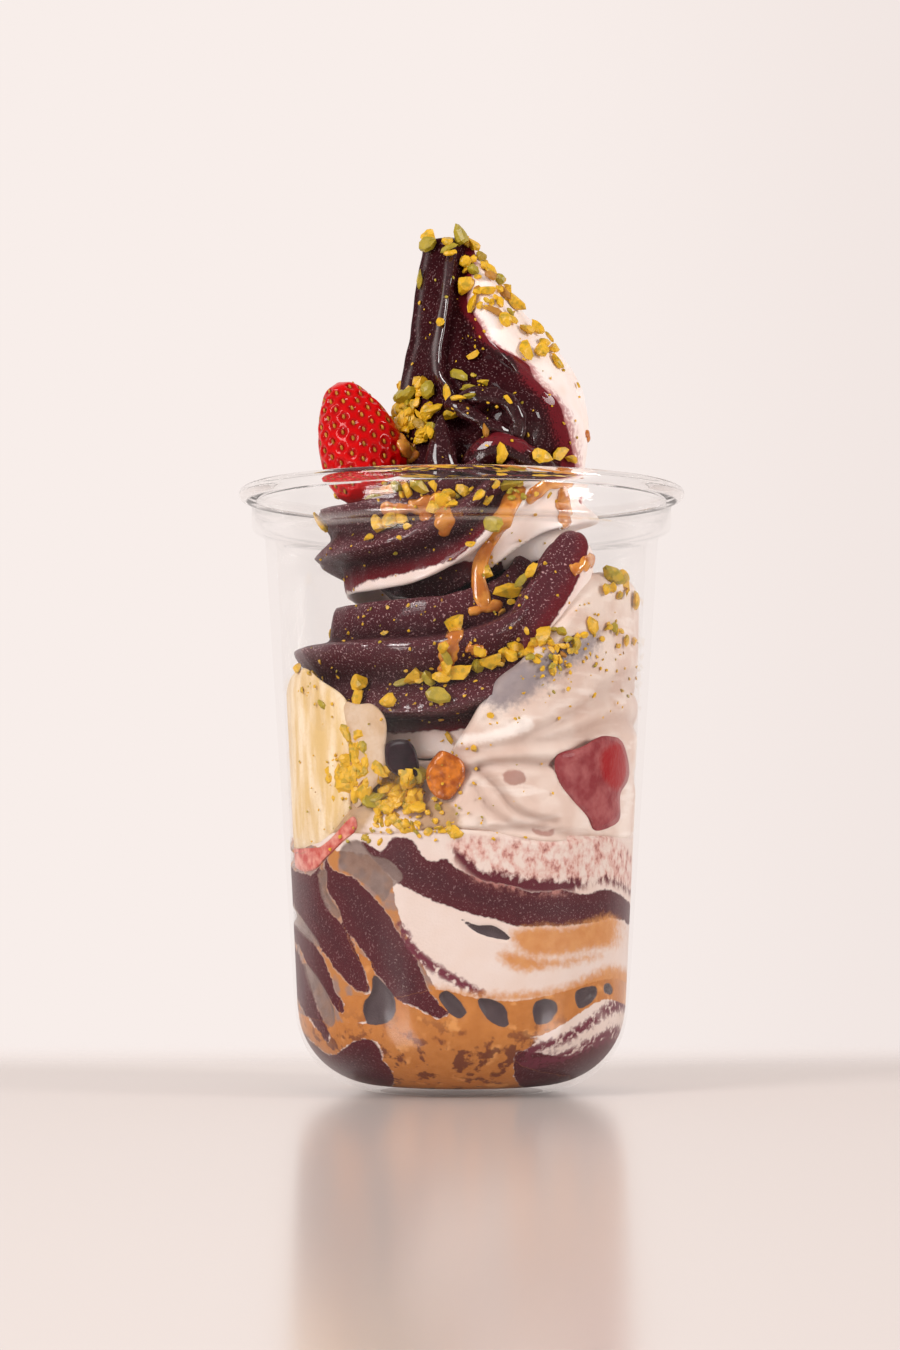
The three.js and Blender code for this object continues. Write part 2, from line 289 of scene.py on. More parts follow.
# colour a with colour b over it by a factor, which share scales
def mixColour(tree, factor, a, b, share=1.0, blend="MIX"):
    if share != 1.0:
        factor = times(tree, factor, share)
    node = addNode(tree, "ShaderNodeMix", {0: factor, 6: a, 7: b}, data_type="RGBA", blend_type=blend)
    return node.outputs[2]


# a smooth step of a value from low to high
def stepNode(tree, value, low, high):
    return addNode(tree, "ShaderNodeMapRange", {0: value, 1: low, 2: high, 3: 0.0, 4: 1.0},
                   interpolation_type="SMOOTHSTEP").outputs[0]


# noise between 0 and 1 with features of a size in mm
def noiseNode(tree, place, size, detail=2.0, rough=0.5):
    inputs = {"Vector": place, "Scale": 1.0 / (size * mm), "Detail": detail, "Roughness": rough}
    return addNode(tree, "ShaderNodeTexNoise", inputs).outputs[0]


def attributeNode(tree, name):
    return addNode(tree, "ShaderNodeAttribute", attribute_name=name).outputs["Fac"]


# where a distance attribute is positive, its edge made ragged by noise and softened, both in mm
def maskNode(tree, name, noise, ragged, soft):
    shift = timesPlus(tree, noise, ragged, -ragged / 2)
    return stepNode(tree, plus(tree, attributeNode(tree, name), shift), -soft, soft)


# a principled shader on the material's output, with a bump from a height in mm where one is given
def addSkin(tree, output, colour, rough, bump, sockets):
    sockets = {"Base Color": colour, "Roughness": rough, **sockets}
    if bump is not None:
        sockets["Normal"] = addNode(tree, "ShaderNodeBump", {"Height": bump, "Distance": 1 * mm}).outputs[0]
    shader = addNode(tree, "ShaderNodeBsdfPrincipled", sockets)
    tree.links.new(shader.outputs[0], output.inputs["Surface"])


# an empty material with its tree and output
def newMaterial(name):
    material = bpy.data.materials.new(name)
    material.use_nodes = True
    tree = material.node_tree
    tree.nodes.clear()
    return material, tree, addNode(tree, "ShaderNodeOutputMaterial")


def objectPlace(tree):
    return addNode(tree, "ShaderNodeTexCoord").outputs["Object"]


# shared effects
creamColours = {
    "acaiDark": linear(33, 9, 13),
    "acai": linear(60, 20, 25),
    "acaiFrosted": linear(118, 60, 70),
    # pale ice grains, partly a painted glint of their sparkle
    "iceAndSparkle": linear(216, 176, 178),
    "bleed": linear(104, 26, 34),
    # grey multiplied into the acai's grooves: painted shade
    "grooveShade": linear(110, 96, 98),
    "vanilla": linear(252, 245, 244),
    "vanillaWarm": linear(238, 216, 203),
    "vanillaFrosted": linear(206, 182, 168),
    "pink": linear(226, 160, 160),
    "redSpecks": linear(150, 52, 62),
}


# two-flavour cream: Edge is the distance in mm past the seam, positive in the vanilla. The seam is
# ragged, the acai reddens towards it in specks, and the acai carries fine pale ice grains, whose colour
# also stands in for their sparkle as a painted glint
def makeCreamGroup():
    group = bpy.data.node_groups.new("twoFlavourCream", "ShaderNodeTree")
    for label in ("Edge", "Frost", "Bleed", "Warmth", "IceAndSparkle"):
        group.interface.new_socket(name=label, in_out="INPUT", socket_type="NodeSocketFloat")
    for label, kind in (("Color", "Color"), ("Roughness", "Float"), ("Height", "Float"), ("Cream", "Float")):
        group.interface.new_socket(name=label, in_out="OUTPUT", socket_type="NodeSocket" + kind)
    given = group.nodes.new("NodeGroupInput").outputs
    place = objectPlace(group)
    fine = noiseNode(group, place, 0.9, 2)
    broad = noiseNode(group, place, 5.0, 1)
    grain = noiseNode(group, place, 0.42, 1)
    patch = noiseNode(group, place, 3.0, 3)
    shift = plus(group, timesPlus(group, fine, 0.8, -0.4), timesPlus(group, broad, 1.2, -0.6))
    edge = plus(group, given["Edge"], shift)
    cream = stepNode(group, edge, -0.2, 0.25)
    near = stepNode(group, edge, -4.8, -0.2)
    speckled = stepNode(group, plus(group, grain, times(group, near, 0.42)), 0.55, 0.78)
    soft = times(group, timesPlus(group, speckled, 0.8, 0.12), near)
    bleed = times(group, soft, given["Bleed"], clamp=True)
    # specks of pale ice that also paint the ice's glint
    iceAndSparkle = times(group, stepNode(group, grain, 0.6, 0.72), given["IceAndSparkle"])
    acai = mixColour(group, patch, creamColours["acaiDark"], creamColours["acai"])
    acai = mixColour(group, given["Frost"], acai, creamColours["acaiFrosted"])
    acai = mixColour(group, iceAndSparkle, acai, creamColours["iceAndSparkle"])
    acai = mixColour(group, bleed, acai, creamColours["bleed"])
    pink = times(group, stepNode(group, edge, 3.2, 0.0), given["Bleed"])
    fuzzy = times(group, stepNode(group, edge, 3.4, -0.2),
                  mathNode(group, "SUBTRACT", given["Bleed"], 1.0, clamp=True))
    specks = stepNode(group, plus(group, fine, times(group, fuzzy, 0.5)), 0.62, 0.92)
    vanilla = mixColour(group, broad, creamColours["vanilla"], creamColours["vanillaWarm"])
    vanilla = mixColour(group, pink, vanilla, creamColours["pink"], 0.12)
    vanilla = mixColour(group, times(group, specks, fuzzy), vanilla, creamColours["redSpecks"])
    vanilla = mixColour(group, given["Warmth"], vanilla, creamColours["vanillaFrosted"])
    addNode(group, "NodeGroupOutput", {
        "Color": mixColour(group, cream, acai, vanilla), "Cream": cream,
        "Roughness": plus(group, timesPlus(group, cream, 0.16, 0.3), times(group, patch, 0.14)),
        "Height": times(group, grain, timesPlus(group, cream, -0.17, 0.2))})
    return group


creamGroup = makeCreamGroup()


# cream by the mesh's attributes: "cream" is the distance past the seam, "shine" places the wet clear
# coat, and the groove value multiplies in a grey, a painted shade in the grooves
def makeCreamMaterial(name, frost, gloss, bleed, iceAndSparkle):
    material, tree, output = newMaterial(name)
    cream = addNode(tree, "ShaderNodeGroup", {
        "Edge": attributeNode(tree, "cream"), "Frost": frost, "Bleed": bleed, "Warmth": 0.0, "IceAndSparkle": iceAndSparkle},
        node_tree=creamGroup).outputs
    grooveShade = attributeNode(tree, "grooveShade")
    colour = mixColour(tree, grooveShade, cream["Color"], creamColours["grooveShade"], 0.75, "MULTIPLY")
    wet = times(tree, attributeNode(tree, "shine"), gloss)
    addSkin(tree, output, colour, cream["Roughness"], cream["Height"], {
        "Coat Weight": wet, "Coat Roughness": 0.05, "Coat IOR": 2.2, "Specular IOR Level": 0.015,
        "Subsurface Weight": 0.08, "Subsurface Radius": (1.0, 0.6, 0.45), "Subsurface Scale": 0.0015})
    return material


coilMaterial = makeCreamMaterial("softServe", frost=0.36, gloss=0.45, bleed=1.0, iceAndSparkle=0.66)
peakMaterial = makeCreamMaterial("softServePeak", frost=0.0, gloss=1.0, bleed=1.8, iceAndSparkle=0.2)


# clear moulded plastic: mostly see-through, with reflections that grow towards grazing sight, a haze on
# the step of the ledge, and a solid clear rim; shadows pass through it
def makeClearMaterial():
    material, tree, output = newMaterial("clearPlastic")
    facing = addNode(tree, "ShaderNodeLayerWeight", {"Blend": 0.5}).outputs["Facing"]
    height = addNode(tree, "ShaderNodeSeparateXYZ", {0: objectPlace(tree)}).outputs["Z"]
    power = mathNode(tree, "SUBTRACT", 4.0, stepNode(tree, height, 0.116, 0.118))
    haze = times(tree, stepNode(tree, height, 0.1168, 0.1174), stepNode(tree, height, 0.1194, 0.1188))
    amount = timesPlus(tree, mathNode(tree, "POWER", facing, power), 0.4, timesPlus(tree, haze, 0.14, 0.025))
    clear = addNode(tree, "ShaderNodeBsdfTransparent", {"Color": (0.988, 0.985, 0.983, 1)})
    gloss = addNode(tree, "ShaderNodeBsdfGlossy", {"Color": (1, 1, 1, 1), "Roughness": 0.04})
    rim = addNode(tree, "ShaderNodeBsdfPrincipled", {"Base Color": (1, 0.995, 0.99, 1), "Roughness": 0.02,
                                                     "IOR": 1.45, "Transmission Weight": 1.0})
    passing = addNode(tree, "ShaderNodeBsdfTransparent", {"Color": (0.99, 0.985, 0.98, 1)})
    shadow = addNode(tree, "ShaderNodeLightPath").outputs["Is Shadow Ray"]
    mixed = clear
    for factor, over in ((amount, gloss), (stepNode(tree, height, 0.1247, 0.1249), rim), (shadow, passing)):
        mixed = addNode(tree, "ShaderNodeMixShader", {0: factor, 1: mixed.outputs[0], 2: over.outputs[0]})
    tree.links.new(mixed.outputs[0], output.inputs["Surface"])
    return material


# the cup
cup = {
    "baseRadius": 17.2, "cornerRadius": 18.0, "coneFrom": 17.0, "coneLow": 22.0, "wallAtBase": 34.15,
    "taper": 0.0659, "wallLow": 0.8, "wallHigh": 2.4, "base": 1.6, "wallTop": 116.8, "middleHole": 0.4,
    "beadRadius": 47.5, "beadLow": 124.9, "beadHigh": 127.7, "columns": 256,
    # radius and height along the stepped ledge below the bead
    "ledgeOutside": [(41.85, 116.8), (42.6, 117.6), (43.9, 118.2), (44.55, 119.0), (44.7, 120.4),
                     (44.7, 122.4), (44.75, 123.8), (45.2, 124.6)],
    "ledgeInside": [(44.3, 127.6), (43.5, 127.0), (43.6, 125.4), (43.8, 123.8), (43.75, 120.6),
                    (43.0, 119.3), (42.3, 118.7), (41.0, 117.9), (39.75, 116.8)],
}


# outer radius of the wall at a height: a quarter round of the corner radius below, a cone above
def outerRadius(z):
    z = np.asarray(z, float)
    drop = np.clip(cup["cornerRadius"] - z, 0, cup["cornerRadius"])
    arc = cup["baseRadius"] + np.sqrt(np.maximum(cup["cornerRadius"] ** 2 - drop ** 2, 0))
    cone = cup["wallAtBase"] + cup["taper"] * z
    return np.where(z > cup["coneFrom"], cone, np.minimum(arc, cone))


# the outer radius less the wall, which thickens evenly up to the ledge
def innerRadius(z):
    rise = np.asarray(z, float) - cup["cornerRadius"]
    share = np.clip(rise / (cup["wallTop"] - cup["cornerRadius"]), 0, 1)
    return outerRadius(z) - (cup["wallLow"] + (cup["wallHigh"] - cup["wallLow"]) * share)


# radius and height of the inner line from the middle of the floor to a height, moved into the wall by
# grow: a flat floor, a quarter round and a cone
def innerLine(topZ, grow, wallStep, floorSteps=10, arcSteps=18):
    radius, corner, base = cup["baseRadius"], cup["cornerRadius"], cup["base"]
    floorLine = np.column_stack([np.linspace(cup["middleHole"], radius, floorSteps, endpoint=False),
                                 np.full(floorSteps, base - grow)])
    turn = np.linspace(0, math.pi / 2 - math.atan(cup["taper"]), arcSteps, endpoint=False)
    arcLine = np.column_stack([radius + (corner - cup["wallLow"] + grow) * np.sin(turn),
                               corner - (corner - base + grow) * np.cos(turn)])
    z = np.arange(corner, topZ, wallStep)
    return np.vstack([floorLine, arcLine, np.column_stack([innerRadius(z) + grow, z])])


# a line of radius and height turned about the axis
def latheGrid(line, columns):
    return fromPolar(line[:, 0:1], ringAngles(columns)[None], line[:, 1:2])


# the cup's closed profile turned about its axis: base, round corner, cone, ledge, half-round bead, and
# down inside
def makeCup(material):
    turn = np.linspace(0, math.pi / 2 - math.atan(cup["taper"]), 20)
    corner = np.column_stack([cup["baseRadius"] + cup["cornerRadius"] * np.sin(turn),
                              cup["cornerRadius"] * (1 - np.cos(turn))])
    z = np.linspace(cup["coneLow"], cup["wallTop"], 60)
    cone = np.column_stack([outerRadius(z), z])
    half = (cup["beadHigh"] - cup["beadLow"]) / 2
    turn = np.linspace(-math.pi / 2, math.pi / 2, 14)
    bead = np.column_stack([cup["beadRadius"] - half + half * np.cos(turn),
                            cup["beadLow"] + half + half * np.sin(turn)])
    inner = innerLine(cup["wallTop"] - 0.5, 0.0, 1.6)[::-1]
    line = np.vstack([[[cup["middleHole"], 0]], corner, cone, smoothPath(cup["ledgeOutside"], 26)[1:], bead,
                      smoothPath(cup["ledgeInside"], 30), inner])
    return addGrid("clearCup", latheGrid(line, cup["columns"]), material, cast=False)


cupPiece = makeCup(makeClearMaterial())
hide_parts("cup")
print("cup done")

# the coils of the upper swirl
coils = {
    "lobes": 8, "depth": 0.3, "plump": 1.02, "sharpness": 1.25, "uneven": 0.35, "intoWall": 0.1,
    "rows": 430, "columns": 144,
    # turn, centre radius, height, half width, half height, turn of the lobes, seam below, seam above
    "keys": [
        (60, 18, 74, 15, 14, 20, -200, -70),
        (120, 19, 81, 16, 15, 20, -205, -70),
        (180, 19.5, 87, 16.8, 15.5, 20, -215, -68),
        (225, 19.5, 86.5, 16.8, 17, 21, -210, -58),
        (270, 19.5, 87, 16.8, 18, 23, -205, -54),
        (290, 19.8, 89, 17.2, 18.5, 33, -195, -50),
        (305, 20.5, 93, 17, 19, 45, -185, -38),
        (322, 20.5, 97, 15, 18, 58, -160, 10),
        (340, 21, 98.5, 15.5, 16, 65, -140, 50),
        (360, 21.5, 99, 16, 13, 68, -120, 80),
        (420, 19, 105, 15.5, 13, 68, -110, 95),
        (480, 18, 111, 14.5, 13, 70, -140, 10),
        (520, 18, 115.5, 13.8, 13, 71, -100, -54),
        (540, 18, 116.5, 13.6, 13, 72, -82, -60),
        (585, 17.5, 116.2, 13.6, 13, 76, -72, -52),
        (612, 17.2, 117, 13.4, 13.4, 85, -64, -44),
        (630, 16.8, 118.5, 13.4, 13.5, 101, -58, -32),
        (645, 16.4, 120.5, 13.5, 13.5, 122, -60, -4),
        (660, 16, 122, 13.8, 13, 145, -84, 42),
        (690, 16, 122.5, 14, 12, 165, -140, 80),
        (720, 15.5, 123, 14, 12, 170, -130, 90),
        (780, 13, 125, 12, 11, 175, -130, 60),
        (840, 10, 127, 10, 9, 180, -150, 20),
    ],
}


# a rope wound upwards: at each turn angle a lobed oval in the radial and upright plane, shrunk by depth
# times the sine of half the lobe angle, so that crests are pointed and hollows round. Cream is the
# distance past the seam in mm along the skin
def makeCoils(material):
    keys = np.asarray(coils["keys"], float)
    turn = np.linspace(keys[0, 0], keys[-1, 0], coils["rows"])
    radius, height, wide, high, roll, seamLow, seamHigh = smoothKeys(keys, turn).T[..., None]
    alpha = np.linspace(-180, 180, coils["columns"], endpoint=False)[None]
    crest = np.abs(np.sin(np.radians(coils["lobes"] / 2 * (alpha - roll)))) ** coils["sharpness"]
    shape = coils["plump"] - coils["depth"] * crest
    z = height + high * shape * np.sin(np.radians(alpha))
    out = np.minimum(radius + wide * shape * np.cos(np.radians(alpha)), innerRadius(z) + coils["intoWall"])
    angle = np.radians(turn)[:, None]
    points = fromPolar(out, angle, z)
    points += (wobble(points, 9, 3) * coils["uneven"])[..., None] * fromPolar(1.0, angle, 0 * z)
    gapAngle = (alpha - (seamLow + seamHigh) / 2 + 180) % 360 - 180
    seam = np.radians((seamHigh - seamLow) / 2 - np.abs(gapAngle)) * (wide + high) / 2
    # the groove value darkens the acai between the crests: painted shade
    values = {"cream": seam, "shine": 0.01 + 0.99 * (1 - crest) ** 5,
              "grooveShade": crest ** 2 * smoothStep(1.0, -1.0, seam)}
    return addGrid("softServeCoils", points, material, values)


# the end of the lower coil that stands up in front at the right: photo pixels, depth and half width in mm
standing = {
    "pixels": [(514, 660), (528, 632), (546, 602), (562, 574), (572, 550), (576, 533)],
    "depths": [-28, -28, -27, -25.5, -23.5, -21], "halves": [2.6, 4.6, 5.6, 5.6, 4.6, 2.4],
    "facing": (0.25, -1.0, 0.0), "flat": 0.8, "ribs": 5, "ribHeight": 0.5, "seam": 0.45, "shine": 0.12,
    "rows": 90, "columns": 64,
}


# a ribbed tube along the path whose half width falls to nothing at its ends; its cream starts on one side
def makeStandingLobe(material):
    rows = standing["rows"]
    places = atDepth(standing["pixels"], standing["depths"])
    path = smoothPath(np.column_stack([places, standing["halves"]]), rows)
    ends = np.sqrt(np.clip(1 - np.linspace(-1, 1, rows) ** 8, 0, 1))
    half = np.maximum(path[:, 3] * ends, 0.05)
    facing = np.tile(standing["facing"], (rows, 1))
    ring = sweptPoints(path[:, :3], facing, half, half * standing["flat"], standing["columns"])
    turn = ringAngles(standing["columns"])
    rib = standing["ribHeight"] * np.cos(standing["ribs"] * turn) * ends[:, None]
    ring += rib[..., None] * (ring - path[:, None, :3]) / half[:, None, None]
    seam = (np.cos(turn) - standing["seam"]) * half[:, None]
    return addGrid("standingLobe", ring, material, {"cream": seam, "shine": standing["shine"] + 0 * seam})


coilPiece = makeCoils(coilMaterial)
lobePiece = makeStandingLobe(coilMaterial)
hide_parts("acai_upper_swirl")
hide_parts("acai_upper_swirl", "vanilla_upper_swirl")
print("coils done")

# the pulled peak
peak = {
    # height, left edge, right edge, half depth
    "outline": [(112, -18, 22, 17), (122, -17, 25.5, 17.5), (133, -15.2, 26.6, 17.5),
                (144.5, -13.6, 26.2, 16.5), (150.8, -12.4, 24.1, 14.8), (155.3, -11.4, 21.3, 13.4),
                (161.1, -10.1, 16.6, 11.2), (167.1, -9.5, 11.3, 9), (172.1, -9.0, 7.8, 7.2),
                (178.1, -7.9, 3.2, 5.2), (180.2, -7.6, 2.3, 4.4), (181.2, -7.0, 1.1, 3.2),
                (181.6, -5.6, -0.5, 1.6)],
    # height, then the X of the sharp front ridge, of the valley beside it, and of the seam with the vanilla
    "ridge": [(112, -4), (143, -2.5), (148, -3.3), (149.7, -4.4), (154, -5.2), (160, -4.4),
              (165.6, -3.75), (170.6, -2.9), (178, -2.2), (184, -2.0)],
    "valley": [(112, 8), (150, 3.5), (158, 1.8), (165, 1.0), (178, 0.6), (184, 0.4)],
    "seam": [(112, 26), (128, 24.6), (134, 23.6), (139, 22.4), (145, 19.6), (149, 15.6), (153.5, 12.6),
             (155.5, 8.4), (157.5, 5.8), (161, 4.2), (165, 2.0), (169, 1.3), (175.5, 2.7), (180, 3.2),
             (184, 3.4)],
    "ridgeHeight": 2.1, "ridgeTilt": 0.42,
    # a slanting lip: X and height that it passes through, slope and middle height; and a bulge's X and
    # height
    "lipX": 8.5, "lipZ": 155.0, "lipSlope": 1.1, "lipMiddle": 152.0, "bulge": (13.0, 141.0),
    # X, height, half width, half height and depth of the hollows under the curls
    "hollows": [(0.8, 140.8, 3.4, 3.2, 7.0), (4.0, 145.3, 2.8, 2.0, 4.5), (-6.5, 136.0, 3.0, 3.0, 2.0)],
    "rows": 230, "columns": 260,
}


# rows of ovals between the left and right edges, each point moved out by ridges that are bell curves of its
# distance in X from keyed lines; behind, plain cosine ridges take their place
def makePeak(material):
    z = np.linspace(peak["outline"][0][0], peak["outline"][-1][0], peak["rows"])
    left, right, deep = smoothKeys(peak["outline"], z).T[..., None]
    turn = ringAngles(peak["columns"])[None]
    half = (right - left) / 2
    x = (left + right) / 2 + half * np.cos(turn)
    y = deep * np.sin(turn)
    z = z[:, None] + 0 * turn
    front = smoothStep(0.1, -0.35, np.sin(turn))
    high = smoothStep(140, 152, z)
    ridgeX, valleyX, seamX = (smoothKeys(peak[key], z)[..., 0] for key in ("ridge", "valley", "seam"))

    def lip(width, tall):
        gap = x - peak["lipX"] - (peak["lipZ"] - z) * peak["lipSlope"]
        return bell(gap, 0, width) * bell(z, peak["lipMiddle"], tall)

    along = x - ridgeX
    bulge = bell(x, peak["bulge"][0], 9) * bell(z, peak["bulge"][1], 8)
    relief = high * ((peak["ridgeHeight"] + peak["ridgeTilt"] * along) * np.exp(-(along / 1.25) ** 4)
                     - 0.7 * bell(along, 2.4, 1.6) - bell(along, -3.6, 2.0))
    relief -= 2.6 * bell(x, valleyX, 1.9) * smoothStep(150, 162, z)
    relief += 2.2 * bell(x, valleyX + 6.5, 4.0) * smoothStep(150, 160, z)
    relief += 1.5 * lip(2.2, 8) + 3.2 * bulge
    for hollowX, hollowZ, wide, tall, sink in peak["hollows"]:
        relief -= sink * bell(x, hollowX, wide) * bell(z, hollowZ, tall)
    y -= relief * np.clip(deep / 9, 0.25, 1.1) * front
    back = (1 - front) * 0.11 * np.cos(6 * turn + z / 14)
    x += half * np.cos(turn) * back
    y += deep * np.sin(turn) * back
    points = np.stack([x, y, z], -1)
    points[..., 0] += wobble(points, 7, 5) * 0.2
    points[..., 1] += wobble(points, 7, 6) * 0.25
    blend = smoothStep(-0.3, 0.3, np.sin(turn))
    cream = (x - seamX) * 0.85 * (1 - blend) + (x + 10 - y * 0.55) * blend
    cream *= 1 + 0.9 * smoothStep(146, 158, z)
    shine = 0.9 * np.exp(-((along + 0.15) / 0.85) ** 4) * high + 0.4 * bell(x, left + 0.9, 0.6)
    shine += 0.5 * lip(1.6, 6) + 0.15 * bulge + 0.04 * smoothStep(0, 3, cream) * smoothStep(156, 146, z)
    return addGrid("pulledPeak", points, material, {"cream": cream, "shine": np.clip(shine, 0, 1)})


peakPiece = makePeak(peakMaterial)
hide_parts("acai_upper_swirl", "vanilla_upper_swirl")

# curls of acai at the foot of the peak: photo pixels, then the depth and half width in mm at each
curls = {
    "curlLoop": ([(500, 450), (514, 438), (518, 420), (510, 404), (492, 396), (474, 396), (460, 403)],
                 [-17.5, -19, -20.2, -20.8, -21, -20.5, -18.5], [2.0, 1.9, 1.8, 1.8, 1.9, 2.0, 1.8]),
    "curlStrand": ([(450, 402), (460, 408), (472, 415), (485, 424), (498, 430), (512, 432)],
                   [-19, -20.6, -21.3, -21, -20, -18], [1.8, 1.7, 1.6, 1.6, 1.8, 2.0]),
    "spike": ([(442, 415), (441, 421), (441, 430), (441, 442), (441, 456), (442, 472)],
              [-20.2, -20.2, -20.4, -20.8, -21, -21], [0.2, 0.9, 1.6, 2.4, 3.2, 3.8]),
    "roll": ([(468, 474), (477, 460), (488, 450), (500, 447), (512, 450), (524, 457), (536, 464), (548, 474)],
             [-18, -19.5, -21, -21.6, -21.6, -21, -20, -18], [2.4, 2.9, 3.0, 3.0, 3.0, 2.9, 2.7, 2.4]),
}


# slightly uneven tubes along the paths; the roll is pale along its upper side
def makeCurls(material):
    rows = 60
    for name, (pixels, depths, halves) in curls.items():
        path = smoothPath(np.column_stack([atDepth(pixels, depths), halves]), rows)
        facing = np.tile([0.0, -1.0, 0.15], (rows, 1))
        ring = sweptPoints(path[:, :3], facing, path[:, 3], path[:, 3] * 0.85, 24)
        ring += (wobble(ring, 4, 9) * 0.18)[..., None] * np.array([1.0, 0.4, 1.0])
        pale = np.sin(np.linspace(0, 3.1, rows))[:, None] * (ring[..., 2] > path[:, None, 2])
        cream = -7.0 + 5.6 * (name == "roll") * pale
        piece = addGrid(name, ring, material, {"cream": cream, "shine": 0.3 + 0 * cream})
        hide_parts("acai_upper_swirl")


makeCurls(peakMaterial)
print("peak done")

# fruit against the wall: outlines in photo pixels
pressedOutlines = {
    "bananaSliceSide": [(286, 694), (292, 676), (302, 668), (322, 681), (345, 698), (352, 740),
                        (350, 790), (351, 808), (338, 828), (322, 842), (308, 851), (297, 855),
                        (288, 846), (284, 800), (283, 740)],
    "bananaSliceFront": [(346, 701), (356, 704), (372, 704), (384, 716), (386, 745), (384, 776),
                         (370, 792), (356, 808), (351, 800), (351, 750)],
    "frostedStrawberry": [(556, 756), (581, 747), (605, 735), (621, 737), (629, 756), (628, 781),
                          (622, 791), (619, 823), (594, 831), (588, 819), (573, 802), (558, 781)],
    "strawberrySlice": [(287, 849), (297, 857), (310, 853), (325, 843), (342, 828), (354, 815),
                        (358, 824), (340, 845), (327, 858), (312, 872), (299, 873), (289, 862)],
    "darkBerry": [(387, 743), (409, 741), (418, 758), (417, 776), (404, 778), (388, 768)],
    "caramelNutCluster": [(434, 757), (440, 751), (452, 754), (463, 762), (465, 776), (458, 790),
                          (447, 800), (436, 797), (427, 783), (427, 768)],
}


# the point where each pixel's ray first meets the inside of the wall, moved inwards by inset, found by
# halving
def onWall(pixels, inset):
    rays = photoRays(pixels)
    near, far = (-60 - eye[1]) / rays[..., 1], (-0.5 - eye[1]) / rays[..., 1]
    for _ in range(40):
        halfway = (near + far) / 2
        at = eye + rays * halfway[..., None]
        outside = np.hypot(at[..., 0], at[..., 1]) > innerRadius(at[..., 2]) - inset
        near, far = np.where(outside, halfway, near), np.where(outside, far, halfway)
    return eye + rays * near[..., None]


